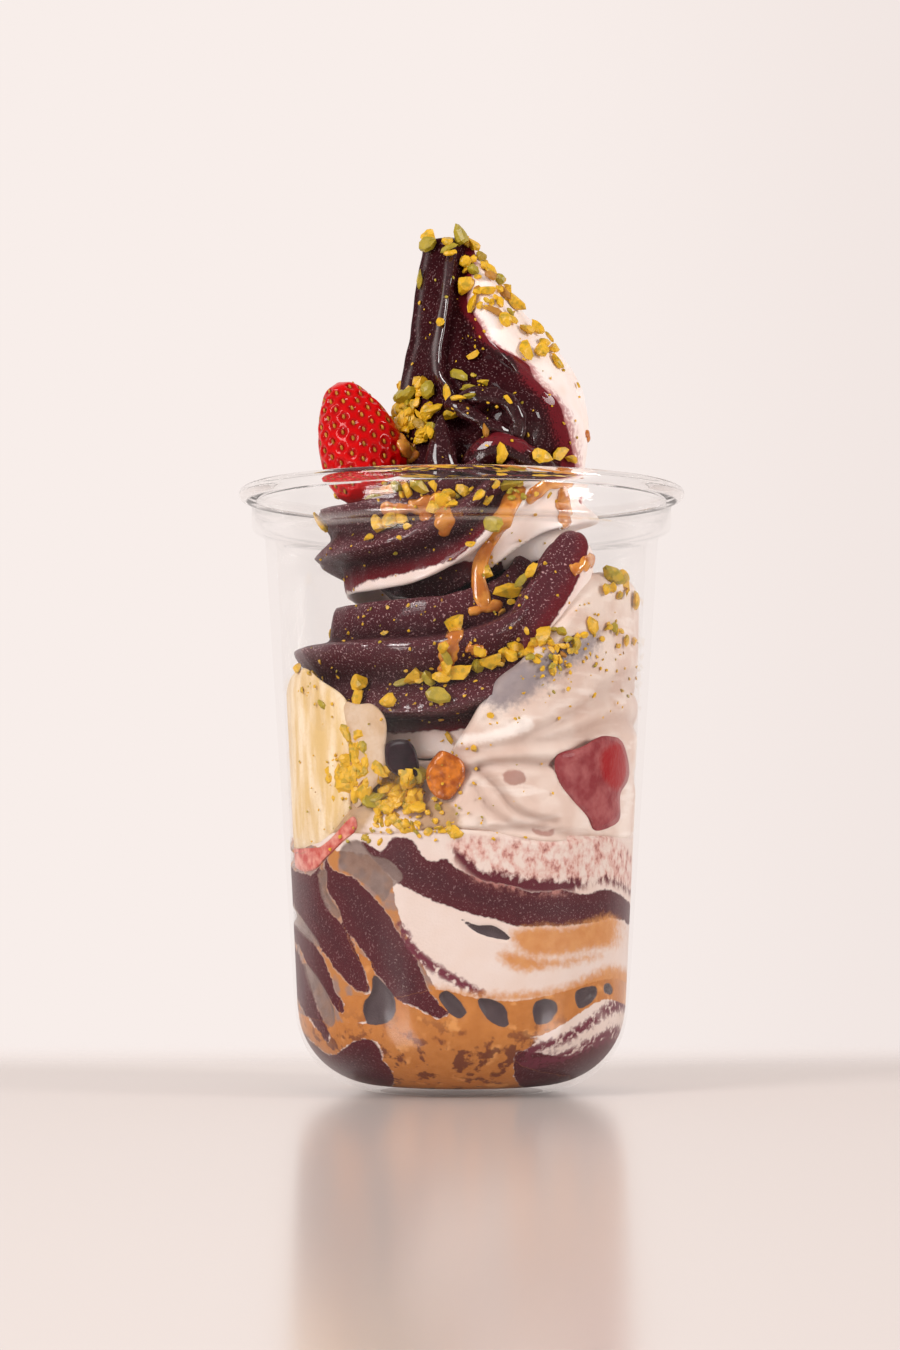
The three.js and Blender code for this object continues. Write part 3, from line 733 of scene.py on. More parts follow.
# lower layers against the wall
lowerOutlines = {
    "acai": [
        [(284, 846), (288, 852), (299, 875), (311, 875), (320, 866), (319, 876), (320, 890),
         (326, 906), (337, 918), (345, 930), (357, 954), (365, 973), (369, 994), (364, 994),
         (349, 985), (332, 963), (317, 944), (299, 911), (290, 889), (280, 870)],
        [(326, 857), (335, 870), (356, 880), (370, 892), (383, 906), (392, 921), (404, 940),
         (418, 961), (423, 976), (430, 992), (440, 1004), (452, 1018), (445, 1020), (418, 1009),
         (394, 997), (383, 982), (374, 971), (371, 963), (356, 942), (344, 925), (340, 913), (328, 890)],
        [(293, 926), (317, 947), (323, 959), (333, 985), (344, 1007), (344, 1014), (337, 1011),
         (330, 999), (314, 978), (301, 947)],
        [(293, 938), (306, 964), (314, 995), (321, 1019), (330, 1033), (329, 1043), (320, 1033),
         (308, 1016), (299, 995), (293, 964)],
        [(362, 842), (382, 851), (392, 839), (411, 840), (423, 856), (432, 861), (445, 859),
         (458, 868), (483, 881), (511, 886), (529, 891), (565, 891), (588, 893), (601, 890),
         (615, 891), (627, 897), (633, 906), (629, 914), (619, 916), (592, 922), (565, 926),
         (547, 927), (520, 926), (502, 922), (481, 916), (418, 894), (400, 884), (380, 868)],
        [(300, 1033), (314, 1044), (332, 1056), (349, 1044), (373, 1040), (381, 1049), (383, 1061),
         (392, 1071), (394, 1085), (366, 1094), (330, 1090), (300, 1060)],
        [(515, 1054), (565, 1057), (611, 1031), (640, 1000), (640, 1050), (600, 1090), (565, 1096),
         (515, 1080)],
    ],
    "pool": [
        [(270, 1010), (306, 1019), (339, 1022), (366, 1024), (401, 1018), (423, 1016), (452, 1020),
         (467, 1022), (508, 1028), (522, 1032), (538, 1041), (527, 1049), (513, 1056), (560, 1075),
         (600, 1060), (640, 1030), (640, 1160), (260, 1160)],
        [(344, 926), (357, 951), (373, 964), (375, 973), (370, 995), (366, 1021), (344, 1021),
         (340, 1000), (352, 995), (364, 996), (366, 975), (352, 948)],
        [(370, 995), (394, 997), (440, 990), (476, 998), (511, 1001), (565, 991), (601, 980),
         (630, 975), (632, 990), (601, 1000), (565, 1023), (540, 1036), (500, 1034), (440, 1024),
         (380, 1026)],
    ],
    "ribbon": [
        [(511, 934), (524, 952), (536, 956), (565, 955), (592, 949), (611, 945), (617, 918),
         (565, 927), (530, 927)],
        [(500, 957), (560, 960), (600, 955), (560, 966), (506, 964)],
        [(430, 988), (480, 994), (560, 988), (630, 968), (630, 976), (560, 996), (480, 1000)],
    ],
    # dark gaps between the pressed layers, sunk and given painted shade
    "gapShade": [
        [(374, 975), (383, 983), (394, 997), (393, 1019), (366, 1023), (365, 1000), (370, 995)],
        [(423, 1016), (430, 1015), (438, 1018), (430, 1020)],
        [(439, 995), (444, 991), (458, 999), (467, 1018), (456, 1018), (445, 1008)],
        [(478, 999), (490, 999), (504, 1006), (508, 1027), (494, 1024), (483, 1013)],
        [(536, 1002), (544, 999), (556, 1002), (556, 1018), (536, 1024)],
        [(576, 992), (586, 987), (597, 987), (597, 995), (579, 1008)],
        [(605, 983), (610, 982), (610, 993), (605, 992)],
        [(460, 918), (476, 925), (495, 926), (511, 940), (499, 939), (476, 932)],
    ],
    "bed": [
        [(270, 840), (330, 850), (372, 858), (392, 884), (396, 905), (404, 928), (412, 945),
         (425, 970), (436, 992), (400, 1000), (372, 1000), (340, 1030), (270, 1030)],
    ],
    "grey": [
        [(319, 870), (326, 870), (327, 878), (326, 889), (332, 902), (340, 913), (339, 919),
         (332, 914), (323, 901), (319, 882)],
        [(290, 892), (297, 909), (318, 947), (313, 944), (296, 926)],
        [(306, 966), (330, 1000), (335, 1021), (330, 1028), (323, 1021), (316, 1002), (309, 982)],
        [(344, 844), (357, 840), (373, 856), (387, 859), (402, 880), (394, 885), (383, 902),
         (376, 894), (356, 878), (339, 866)],
    ],
    "speckle": [
        [(448, 843), (458, 839), (538, 836), (547, 831), (634, 855), (640, 872), (633, 887),
         (601, 884), (569, 894), (499, 889), (475, 881), (461, 868)],
    ],
}
# frayed seams between acai and cream, in photo pixels
frayLines = [
    [(401, 926), (410, 945), (432, 966), (455, 980), (480, 994)],
    [(527, 1052), (565, 1038), (601, 1014), (627, 988)],
    [(522, 1066), (565, 1056), (610, 1030), (640, 1002)],
]
lower = {
    "columns": 560,
    "pinkish": linear(204, 142, 130), "reds": linear(92, 34, 44), "fray": linear(110, 48, 62),
    "bedCaramel": linear(186, 124, 70), "bedGrey": linear(150, 122, 112),
    "caramel": linear(204, 136, 74), "caramelDeep": linear(170, 102, 48), "caramelPale": linear(214, 150, 88),
    "lumps": linear(90, 42, 42), "ribbon": linear(190, 112, 44), "ribbonPale": linear(216, 158, 98),
    "grey": linear(150, 128, 120), "greyDeep": linear(100, 78, 72),
    # painted shade for the gaps
    "gap": linear(92, 78, 80), "gapShadeDeep": linear(66, 52, 58),
}


# for points round the cup: their photo pixel, or that of their mirror image in front for points behind,
# which are shifted a little so that the back isn't an exact mirror image; a parabola rounds the turn from
# front to back
def patternPixels(points):
    x, y = points[..., 0], points[..., 1]
    turnWidth = 14.0
    behind = smoothStep(-22, 22, y)
    mirrored = points.copy()
    mirrored[..., 0] = x * (1 - 0.12 * behind)
    rounded = -(y ** 2 + turnWidth ** 2) / (2 * turnWidth)
    mirrored[..., 1] = np.where(np.abs(y) < turnWidth, rounded, -np.abs(y))
    mirrored[..., 2] += behind * (6 * np.sin(x / 24) + 2 * np.sin(y / 9 + x / 9))
    return toPhoto(mirrored)


# distance in pixels inside the nearest of several outlines
def deepest(pixels, outlines):
    return np.max([insideOutline(pixels, outline) for outline in outlines], axis=0)


pixelSize = 0.207   # mm of wall for each photo pixel, face on
layerTop = 54.0     # mm, where the lower layers end and the pressed vanilla starts


# height of that boundary round the cup: two sine waves
def layerWave(x, y):
    angle = np.arctan2(y, x)
    return 1.1 * np.sin(3 * angle + 0.9) + 0.7 * np.sin(7 * angle)


# the inner line of the wall turned about the axis, with shallow hollows where gaps, grey pockets and
# pressed pieces lie, closed by a lid that rises to the middle
def makeLowerLayers(material):
    points = latheGrid(innerLine(layerTop, 0.15, 0.6), lower["columns"])
    nearTop = smoothStep(layerTop - 12, layerTop, points[..., 2])
    points[..., 2] += layerWave(points[..., 0], points[..., 1]) * nearTop
    pixels = patternPixels(points)
    values = {key: deepest(pixels, outlines) * pixelSize for key, outlines in lowerOutlines.items()}
    values["fray"] = np.max([onLine(pixels, line, 9) for line in frayLines], axis=0) * pixelSize
    sunk = 0.9 * smoothStep(-0.2, 0.9, values["gapShade"]) + 0.7 * smoothStep(-0.2, 0.8, values["grey"])
    sunk -= 0.15 * smoothStep(-0.5, 0.5, values["acai"])
    sunk += 0.7 * smoothStep(-1, 3, deepest(pixels, pressedOutlines.values()))
    upright = smoothStep(3, 9, points[..., 2])
    points[..., :2] -= unit(points[..., :2]) * (np.maximum(sunk, 0) * upright)[..., None]
    lid = np.array([[innerRadius(layerTop) - 2.0, layerTop + 1.0], [20, layerTop + 1.5], [0.5, layerTop + 2]])
    values = {key: np.concatenate([value, np.repeat(value[-1:], 3, axis=0)]) for key, value in values.items()}
    points = np.concatenate([points, latheGrid(lid, lower["columns"])])
    return addGrid("lowerLayers", points, material, values)


# what lies against the lower wall: vanilla, with acai lobes, the caramel pool and its streaks, painted
# shade in the dark gaps, and grey pockets, each where its distance is positive, with a ragged edge
def makeLowerMaterial():
    material, tree, output = newMaterial("layersAtWall")
    place = objectPlace(tree)
    fine = noiseNode(tree, place, 1.1, 2)
    broad = noiseNode(tree, place, 4.0, 2)
    patch = noiseNode(tree, place, 2.2, 3)
    clumps = noiseNode(tree, place, 3.6, 3, 0.6)
    stretched = addNode(tree, "ShaderNodeMapping", {"Vector": place, "Scale": (1.0, 1.0, 0.7)}).outputs[0]
    streaks = noiseNode(tree, stretched, 1.6, 3, 0.6)
    height = addNode(tree, "ShaderNodeSeparateXYZ", {0: place}).outputs["Z"]
    acai, speckle = attributeNode(tree, "acai"), attributeNode(tree, "speckle")

    def mask(name, ragged, soft=0.12):
        return maskNode(tree, name, fine, ragged, soft)

    cream = addNode(tree, "ShaderNodeGroup", {"Edge": times(tree, acai, -1.0), "Frost": 0.25, "Bleed": 0.25,
                                              "Warmth": 0.55, "IceAndSparkle": 0.22}, node_tree=creamGroup).outputs
    zone = stepNode(tree, speckle, -1.0, 1.4)
    pinkish = times(tree, zone, stepNode(tree, streaks, 0.36, 0.7))
    colour = mixColour(tree, pinkish, cream["Color"], lower["pinkish"])
    nearBand = times(tree, stepNode(tree, acai, -4.0, 0.2), zone)
    reds = stepNode(tree, plus(tree, streaks, times(tree, nearBand, 0.5)), 0.54, 0.82)
    colour = mixColour(tree, times(tree, times(tree, reds, zone), cream["Cream"]), colour, lower["reds"])
    bed = mixColour(tree, stepNode(tree, broad, 0.42, 0.58), lower["bedCaramel"], lower["bedGrey"])
    colour = mixColour(tree, times(tree, mask("bed", 0.8), cream["Cream"]), colour, bed)
    frayZone = stepNode(tree, attributeNode(tree, "fray"), -1.2, 0.6)
    frays = stepNode(tree, plus(tree, fine, times(tree, frayZone, 0.34)), 0.6, 0.86)
    colour = mixColour(tree, times(tree, frayZone, frays), colour, lower["fray"])
    sauce = mixColour(tree, patch, lower["caramel"], lower["caramelDeep"])
    sauce = mixColour(tree, stepNode(tree, broad, 0.58, 0.7), sauce, lower["caramelPale"])
    lumps = times(tree, stepNode(tree, height, 0.021, 0.009), stepNode(tree, clumps, 0.49, 0.4))
    sauce = mixColour(tree, lumps, sauce, lower["lumps"], 0.8)
    ribbon = mixColour(tree, patch, lower["ribbon"], lower["ribbonPale"])
    colour = mixColour(tree, mask("ribbon", 2.4, 1.3), colour, ribbon, 0.95)
    pool = mask("pool", 0.7)
    colour = mixColour(tree, pool, colour, sauce)
    colour = mixColour(tree, times(tree, mask("acai", 1.2), pool), colour, cream["Color"])
    grey = mixColour(tree, patch, lower["grey"], lower["greyDeep"])
    colour = mixColour(tree, mask("grey", 0.5, 0.25), colour, grey, 0.85)
    # painted shade in the sunk gaps
    gapShadeColour = mixColour(tree, patch, lower["gap"], lower["gapShadeDeep"])
    colour = mixColour(tree, mask("gapShade", 0.25, 0.1), colour, gapShadeColour)
    rough = timesPlus(tree, pool, -0.2, 0.5)
    grain = times(tree, noiseNode(tree, place, 0.5, 1), 0.06)
    addSkin(tree, output, colour, rough, grain, {"Specular IOR Level": 0.12})
    return material


lowerPiece = makeLowerLayers(makeLowerMaterial())
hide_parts("peanut_caramel_sauce", "acai_lower_swirl", "vanilla_lower_swirl")
print("lower layers done")

# vanilla pressed against the wall above them
upperFill = {
    "foot": 49.0, "roundOff": 3.0, "lidRadius": 4.0, "columns": 480,
    # angle round the cup (front is -90), height of the top edge, how far the upper part stands back from
    # the wall
    "top": [(-180, 87, 1.0), (-165, 86, 1.2), (-150, 82, 2.5), (-135, 76, 5), (-120, 71, 7),
            (-105, 69, 7), (-96, 70, 5), (-88, 76, 2), (-80, 84, 0.8), (-70, 89, 0.6),
            (-62.6, 93.5, 0.6), (-57.5, 97, 0.8), (-50, 103, 1.0), (-46, 105.5, 1.2),
            (-40, 107.5, 1.2), (-30, 108.5, 1.2), (0, 106, 1.0), (30, 106, 0.8), (60, 100, 1.0),
            (90, 95, 1.2), (120, 91, 1.2), (150, 89, 1.0), (180, 87, 1.0)],
    # stains seen through the wall, and the pocket's painted shade in hollows between folds, in photo pixels
    "smear": [[(478, 668), (505, 661), (540, 656), (575, 641), (600, 632), (596, 648), (572, 664),
               (545, 684), (520, 702), (495, 708), (480, 695)]],
    # painted shade in hollows between folds
    "pocketShade": [[(503, 774), (512, 770), (524, 773), (527, 780), (518, 785), (506, 783)],
               [(535, 829), (546, 831), (557, 830), (556, 834), (545, 836), (536, 833)]],
    "strip": [[(386, 727), (420, 733), (460, 735), (500, 729), (530, 718), (534, 724), (500, 739),
               (460, 745), (420, 743), (394, 738)]],
    "beige": [[(350, 702), (384, 704), (388, 730), (420, 742), (386, 760), (380, 800), (352, 840),
               (330, 850), (345, 780)],
              [(426, 800), (446, 800), (458, 812), (456, 836), (430, 838), (418, 824)]],
    # creases between folds in photo pixels, their half width in pixels and depth in mm; the depth also sets
    # their painted shade
    "folds": [([(462, 772), (492, 765), (525, 763), (556, 764), (590, 745)], 5, 1.6), ([(480, 770),
              (500, 790), (514, 808), (532, 818), (556, 822)], 4, 1.2), ([(524, 737), (560, 722),
              (600, 700), (650, 672)], 6, 1.0), ([(440, 838), (480, 832), (540, 830),
              (600, 842)], 4, 1.0), ([(600, 690), (630, 670), (655, 640)], 5, 0.8), ([(438, 757),
              (470, 752), (520, 745), (570, 738), (640, 712)], 7, 1.0), ([(474, 786), (492, 812),
              (516, 826), (545, 828)], 4, 0.7)],
}


fillColours = {
    "pale": linear(234, 217, 206), "warm": linear(220, 194, 180), "streakHighlight": linear(246, 234, 226),
    "creaseShade": linear(164, 126, 110),
    # two tones of each stain, and of the pocket's painted shade
    "beige": (linear(200, 160, 106), linear(140, 104, 78)),
    "smear": (linear(120, 112, 122), linear(172, 158, 156)),
    # painted shade in hollows between folds
    "pocketShade": (linear(150, 92, 80), linear(150, 92, 80)),
    "strip": (linear(255, 246, 240), linear(255, 246, 240)),
}


# pressed vanilla: drifting tones, lighter level streaks that are painted highlights, painted shade in the
# creases, and stains where their distance is positive; the pocket among them is painted shade in hollows
def makeFillMaterial():
    material, tree, output = newMaterial("vanillaAtWall")
    place = objectPlace(tree)
    broad, patch, fine = (noiseNode(tree, place, size, 2) for size in (9.0, 3.0, 0.9))
    stretched = addNode(tree, "ShaderNodeMapping", {"Vector": place, "Scale": (0.35, 0.35, 1.5)}).outputs[0]
    streaks = stepNode(tree, noiseNode(tree, stretched, 3.5, 2), 0.5, 0.7)
    colour = mixColour(tree, stepNode(tree, broad, 0.35, 0.62), fillColours["pale"], fillColours["warm"])
    # lighter level streaks: painted highlights
    colour = mixColour(tree, streaks, colour, fillColours["streakHighlight"], 0.6)
    # painted shade in the creases between folds
    colour = mixColour(tree, times(tree, attributeNode(tree, "creaseShade"), 0.3, clamp=True), colour,
                       fillColours["creaseShade"])
    for name, ragged, soft, share in (("beige", 1.4, 1.0, 0.85), ("smear", 3.4, 1.8, 0.95),
                                      ("pocketShade", 0.6, 0.3, 0.7), ("strip", 1.2, 0.7, 0.8)):
        stainAndShade = mixColour(tree, patch, *fillColours[name])
        colour = mixColour(tree, maskNode(tree, name, fine, ragged, soft), colour, stainAndShade, share)
    addSkin(tree, output, colour, 0.5, times(tree, patch, 0.25), {"Specular IOR Level": 0.2})
    return material


# the wall's inner surface from the foot to the keyed top edge, a quarter round, and a lid to the middle;
# creases and pressed pieces sink into it, and the creases carry the amount of their painted shade
def makeUpperFill(material):
    degrees = np.linspace(-180, 180, upperFill["columns"], endpoint=False)
    angle = np.radians(degrees)[None]
    foot, roundOff = upperFill["foot"], upperFill["roundOff"]
    topZ, back = smoothKeys(upperFill["top"], degrees).T
    share = np.linspace(0, 1, 90)[:, None]
    z = foot + (topZ - roundOff - foot) * share
    radius = innerRadius(z) + 0.15 - back * smoothStep(0.35, 1.0, share)
    turn = np.linspace(0, math.pi / 2, 14)[1:, None]
    roundR = radius[-1] - roundOff * (1 - np.cos(turn))
    roundZ = z[-1] + roundOff * np.sin(turn)
    inward = np.linspace(0, 1, 10)[1:, None]
    radius = np.vstack([radius, roundR, roundR[-1] + (upperFill["lidRadius"] - roundR[-1]) * inward])
    z = np.vstack([z, roundZ, roundZ[-1] - 2.5 * inward])
    boundary = layerTop + layerWave(np.cos(angle), np.sin(angle))
    points = fromPolar(radius - 2.0 * smoothStep(boundary + 0.2, boundary - 1.4, z), angle, z)
    pixels = patternPixels(points)
    sunk = 0.7 * smoothStep(-1, 3, deepest(pixels, pressedOutlines.values()))
    stainsAndShade = ("smear", "pocketShade", "beige", "strip")
    values = {key: deepest(pixels, upperFill[key]) * pixelSize for key in stainsAndShade}
    values["creaseShade"] = 0 * sunk
    for line, wide, deep in upperFill["folds"]:
        away = np.minimum(onLine(pixels, line, 0), 0)
        values["creaseShade"] += deep * bell(away, 0, 1.4 * wide)
        sunk += deep * bell(away, 0, wide)
    sunk += 0.4 * np.maximum(wobble(points, 16, 11), 0)
    points[..., :2] *= (1 - sunk / 38)[..., None]
    return addGrid("vanillaFill", points, material, values)


fillPiece = makeUpperFill(makeFillMaterial())
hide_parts("vanilla_upper_swirl")
print("fill done")


# moves photo pixels sideways so that their rays still meet the inside of the wall
def keepInside(pixels):
    z = atDepth(pixels, 0.0)[..., 2]
    side = (innerRadius(z) - 0.6) * view["focal"] / -eye[1]
    axisX = view["middle"][0] - eye[0] * view["focal"] / -eye[1]
    return np.stack([np.clip(pixels[..., 0], axisX - side, axisX + side), pixels[..., 1]], -1)


# a piece pressed to the wall: its outline shrunk in rings towards its middle, flush in front with a rounded
# edge, and domed behind; the front may carry relief in mm
def makePressed(name, material, depth, relief=None, edge=0.9, flush=0.15):
    outline = smoothPath(pressedOutlines[name], 90, closed=True)
    middle = outline.mean(0)
    share = np.concatenate([np.linspace(0.03, 0.8, 22), np.linspace(0.83, 1.0, 10)])
    pixels = middle + (outline - middle)[None] * share[:, None, None]
    rounding = np.clip((share - 0.72) / 0.28, 0, 1)
    inset = (edge * (1 - np.sqrt(1 - 0.98 * rounding ** 2)))[:, None] + np.zeros(len(outline)) - flush
    if relief is not None:
        inset = inset + relief(pixels, share[:, None])
    pixels = keepInside(pixels)
    back = np.linspace(1.0, 0.03, 12)[1:]
    backInset = edge - flush + (depth - edge) * np.sqrt(1 - back ** 2)
    backPixels = keepInside(middle + (outline - middle)[None] * back[:, None, None])
    points = np.concatenate([onWall(pixels, inset), onWall(backPixels, backInset[:, None])])
    seen = deepest(pixels, redSpots) * pixelSize
    spots = np.concatenate([seen, np.repeat(seen[-1:], len(back), axis=0)])
    return addGrid(name, points, material, {"spots": spots})


# soft fruit or cream flesh: one colour that drifts to another over a few mm, with fainter fine grain, and
# a third colour where the "spots" attribute is positive
def makeFleshMaterial(name, light, deep, size, rough, coat, bumpSize=0.8, bumpHeight=0.12, spots=None,
                      upright=1.0):
    material, tree, output = newMaterial(name)
    place = objectPlace(tree)
    stretched = addNode(tree, "ShaderNodeMapping", {"Vector": place, "Scale": (1, 1, upright)}).outputs[0]
    fine = noiseNode(tree, place, bumpSize, 2)
    colour = mixColour(tree, stepNode(tree, noiseNode(tree, stretched, size, 2), 0.3, 0.7), light, deep)
    colour = mixColour(tree, stepNode(tree, fine, 0.45, 0.75), colour, deep, 0.35)
    if spots:
        inSpot = stepNode(tree, timesPlus(tree, fine, 1.2, attributeNode(tree, "spots")), 0.0, 1.6)
        colour = mixColour(tree, inSpot, colour, spots, 0.85)
    addSkin(tree, output, colour, rough, times(tree, fine, bumpHeight),
            {"Coat Weight": coat, "Coat Roughness": 0.1, "Specular IOR Level": 0.1})
    return material


bananaMaterial = makeFleshMaterial(
    "bananaFlesh", linear(240, 220, 190), linear(220, 186, 128), 3.0, 0.5, 0.0, upright=0.22)
bananaPaleMaterial = makeFleshMaterial(
    "bananaPale", linear(214, 190, 166), linear(200, 166, 130), 5.0, 0.5, 0.0)
berryMaterial = makeFleshMaterial(
    "darkBerrySkin", linear(20, 10, 15), linear(44, 22, 30), 3.0, 0.3, 0.15)
nutCaramelMaterial = makeFleshMaterial(
    "caramelNut", linear(214, 122, 34), linear(150, 70, 14), 1.8, 0.3, 0.5, 1.4, 0.5)
frostedFruitMaterial = makeFleshMaterial(
    "frostedFruit", linear(166, 88, 88), linear(136, 46, 52), 3.0, 0.45, 0.1, 0.9, 0.2, linear(158, 6, 14))
sliceMaterial = makeFleshMaterial(
    "strawberrySliceFlesh", linear(226, 160, 144), linear(190, 70, 62), 2.6, 0.4, 0.1)


# the clearest red part of the frosted fruit, in photo pixels
redSpots = [[(605, 748), (620, 742), (628, 756), (627, 780), (618, 791), (607, 784)]]


# lengthwise ribs of the flesh, bent by a parabola, that fade towards the middle of the slice
def bananaRelief(pixels, share):
    bend = pixels[..., 0] + 0.0016 * (pixels[..., 1] - 760) ** 2
    return 0.3 * (0.5 + 0.5 * np.sin(bend / 5.5)) * smoothStep(0.2, 0.6, share)


# lumps of nut: a product of sine waves across and down
def clusterRelief(pixels, share):
    return 0.35 * (0.5 + 0.5 * np.sin(pixels[..., 0] / 2.6) * np.sin(pixels[..., 1] / 3.1)) - 0.5


makePressed("strawberrySlice", sliceMaterial, depth=3.0)
for pieceName, node, material, slot, depth, relief in (
        ("bananaSliceSide", "banana_slice_side", bananaMaterial, "banana", 6, bananaRelief),
        ("bananaSliceFront", "banana_slice_front", bananaPaleMaterial, "banana", 5, bananaRelief),
        ("darkBerry", "dark_berry", berryMaterial, "dark_berry", 5, None),
        ("caramelNutCluster", "caramel_nut_cluster", nutCaramelMaterial, "caramel_nut", 5, clusterRelief),
        ("frostedStrawberry", "strawberry_piece", frostedFruitMaterial, "frosted_strawberry", 7, None)):
    piece = makePressed(pieceName, material, depth, relief)
    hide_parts(node)
print("pressed fruit done")

# the strawberry
berry = {
    "tipPixel": (338, 382.5), "depth": -10.5, "way": (0.316, 0.05, -0.949), "length": 27.0,
    # distance from the tip and radius there, mm
    "profile": [(0, 0.25), (0.7, 2.3), (1.6, 3.5), (3, 4.5), (5, 5.7), (7.5, 6.9), (10.5, 7.9),
                (13.5, 8.6), (17, 8.9), (21, 8.5), (24, 7.0), (26, 4.2), (27, 0.3)],
    "seeds": 150, "seedSize": (1.2, 0.66, 0.6), "seedSunk": 0.32, "goldenAngle": 2.39996,
    "dimple": 0.55, "dimpleWidth": 0.85,
    # darker red in the seed dimples: painted shade
    "red": linear(222, 2, 6), "deepRed": linear(176, 0, 4), "pitShade": linear(140, 6, 10),
    "rows": 110, "columns": 200,
}


# the tip, and unit directions along the berry and across it
def berryFrame():
    axis = unit(np.array(berry["way"]))
    side = unit(np.cross(axis, (0, 1, 0)))
    return atDepth(berry["tipPixel"], berry["depth"]), axis, side, np.cross(axis, side)


# a profile turned about the berry's axis, slightly lobed, with a dimple and a raised ring round each
# seed; the seeds lie on a spiral of golden-angle turns
def makeStrawberry():
    tip, axis, side, other = berryFrame()
    length = berry["length"]

    def surface(h, turn):
        lobes = 1 + 0.03 * np.sin(3 * turn + 1) + 0.02 * np.sin(5 * turn)
        radius = smoothKeys(berry["profile"], h)[..., 0] * lobes
        return (tip + h[..., None] * axis + (radius * np.cos(turn))[..., None] * side
                + (radius * np.sin(turn))[..., None] * other)

    number = np.arange(berry["seeds"])
    seedH = 1.2 + (length - 5) * ((number + 0.5) / berry["seeds"]) ** 0.92
    seeds = surface(seedH, number * berry["goldenAngle"])
    seedOut = unit(seeds - (tip + seedH[:, None] * axis))
    h = (0.02 + (length - 0.04) * np.linspace(0.0, 1.0, berry["rows"]) ** 1.25)[:, None]
    turn = ringAngles(berry["columns"])[None]
    points = surface(h + 0 * turn, turn + 0 * h)
    nearest = np.linalg.norm(points[:, :, None] - seeds, axis=-1).min(-1)
    pit = bell(nearest, 0, berry["dimpleWidth"])
    out = unit(points - (tip + h[..., None] * axis))
    points = points - out * (berry["dimple"] * pit - 0.12 * bell(nearest, 1.4, 0.5))[..., None]

    material, tree, output = newMaterial("strawberrySkin")
    place = objectPlace(tree)
    colour = mixColour(tree, noiseNode(tree, place, 5.0, 2), berry["red"], berry["deepRed"])
    # painted shade in the seed dimples
    colour = mixColour(tree, attributeNode(tree, "pit"), colour, berry["pitShade"])
    addSkin(tree, output, colour, 0.3, times(tree, noiseNode(tree, place, 0.8, 2), 0.06),
            {"Coat Weight": 0.4, "Coat Roughness": 0.06, "Specular IOR Level": 0.05})
    body = addGrid("strawberry", points, material, {"pit": pit})
    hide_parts("strawberry")

    seedMaterial = makeFleshMaterial(
        "strawberrySeed", linear(206, 146, 52), linear(146, 92, 30), 1.0, 0.35, 0.2)
    longs, wides, thicks = (np.full(len(seeds), size) for size in berry["seedSize"])
    scatter("strawberrySeeds", seeds - seedOut * berry["seedSunk"], seedOut, longs, wides, thicks,
            axis + 0 * seeds, seedMaterial, 0.0, 31, "strawberry")


# many small pieces in one mesh: a coarse ball each, flattened by random planes that cut it, then
# stretched to its length, width and thickness and turned so that its length lies near a given direction
# on the surface
def scatter(name, places, normals, longs, wides, thicks, leans, material, cut, seed, slot):
    rng = np.random.default_rng(seed)
    count, sides, polar = len(places), 8, np.radians([30, 65, 100, 145])[:, None]
    ring = fromPolar(np.sin(polar), ringAngles(sides)[None], np.cos(polar)).reshape(-1, 3)
    ball = np.vstack([ring, [[0, 0, 1], [0, 0, -1]]])
    shapes = np.repeat(ball[None], count, axis=0)
    if cut:
        for _ in range(6):
            plane = unit(rng.normal(size=(count, 1, 3)))
            over = np.maximum((shapes * plane).sum(-1) - rng.uniform(cut, 0.8, (count, 1)), 0)
            shapes = shapes - over[..., None] * plane
    normals = unit(normals)
    first = unit(leans - (leans * normals).sum(1, keepdims=True) * normals)
    second = np.cross(normals, first)
    local = shapes * np.stack([longs, wides, thicks], -1)[:, None] / 2
    points = (places[:, None] + local[..., 0:1] * first[:, None] + local[..., 1:2] * second[:, None]
              + local[..., 2:3] * normals[:, None])
    j = np.arange(sides)
    nextJ = (j + 1) % sides
    low = np.arange(len(polar) - 1)[:, None] * sides
    quads = np.stack([low + j, low + sides + j, low + sides + nextJ, low + nextJ], -1).reshape(-1, 4)
    top, foot, last = len(ring), len(ring) + 1, len(ring) - sides
    caps = np.concatenate([np.stack([np.full(sides, top), j, nextJ], -1),
                           np.stack([np.full(sides, foot), last + nextJ, last + j], -1)])
    shift = (np.arange(count) * len(ball))[:, None, None]
    tones = np.repeat(rng.uniform(0, 1, count), len(ball))
    piece = addPiece(name, points.reshape(-1, 3), quads + shift, caps + shift, material, {"tone": tones},
                     smooth=not cut, cast=False)
    return piece


makeStrawberry()
print("strawberry done")

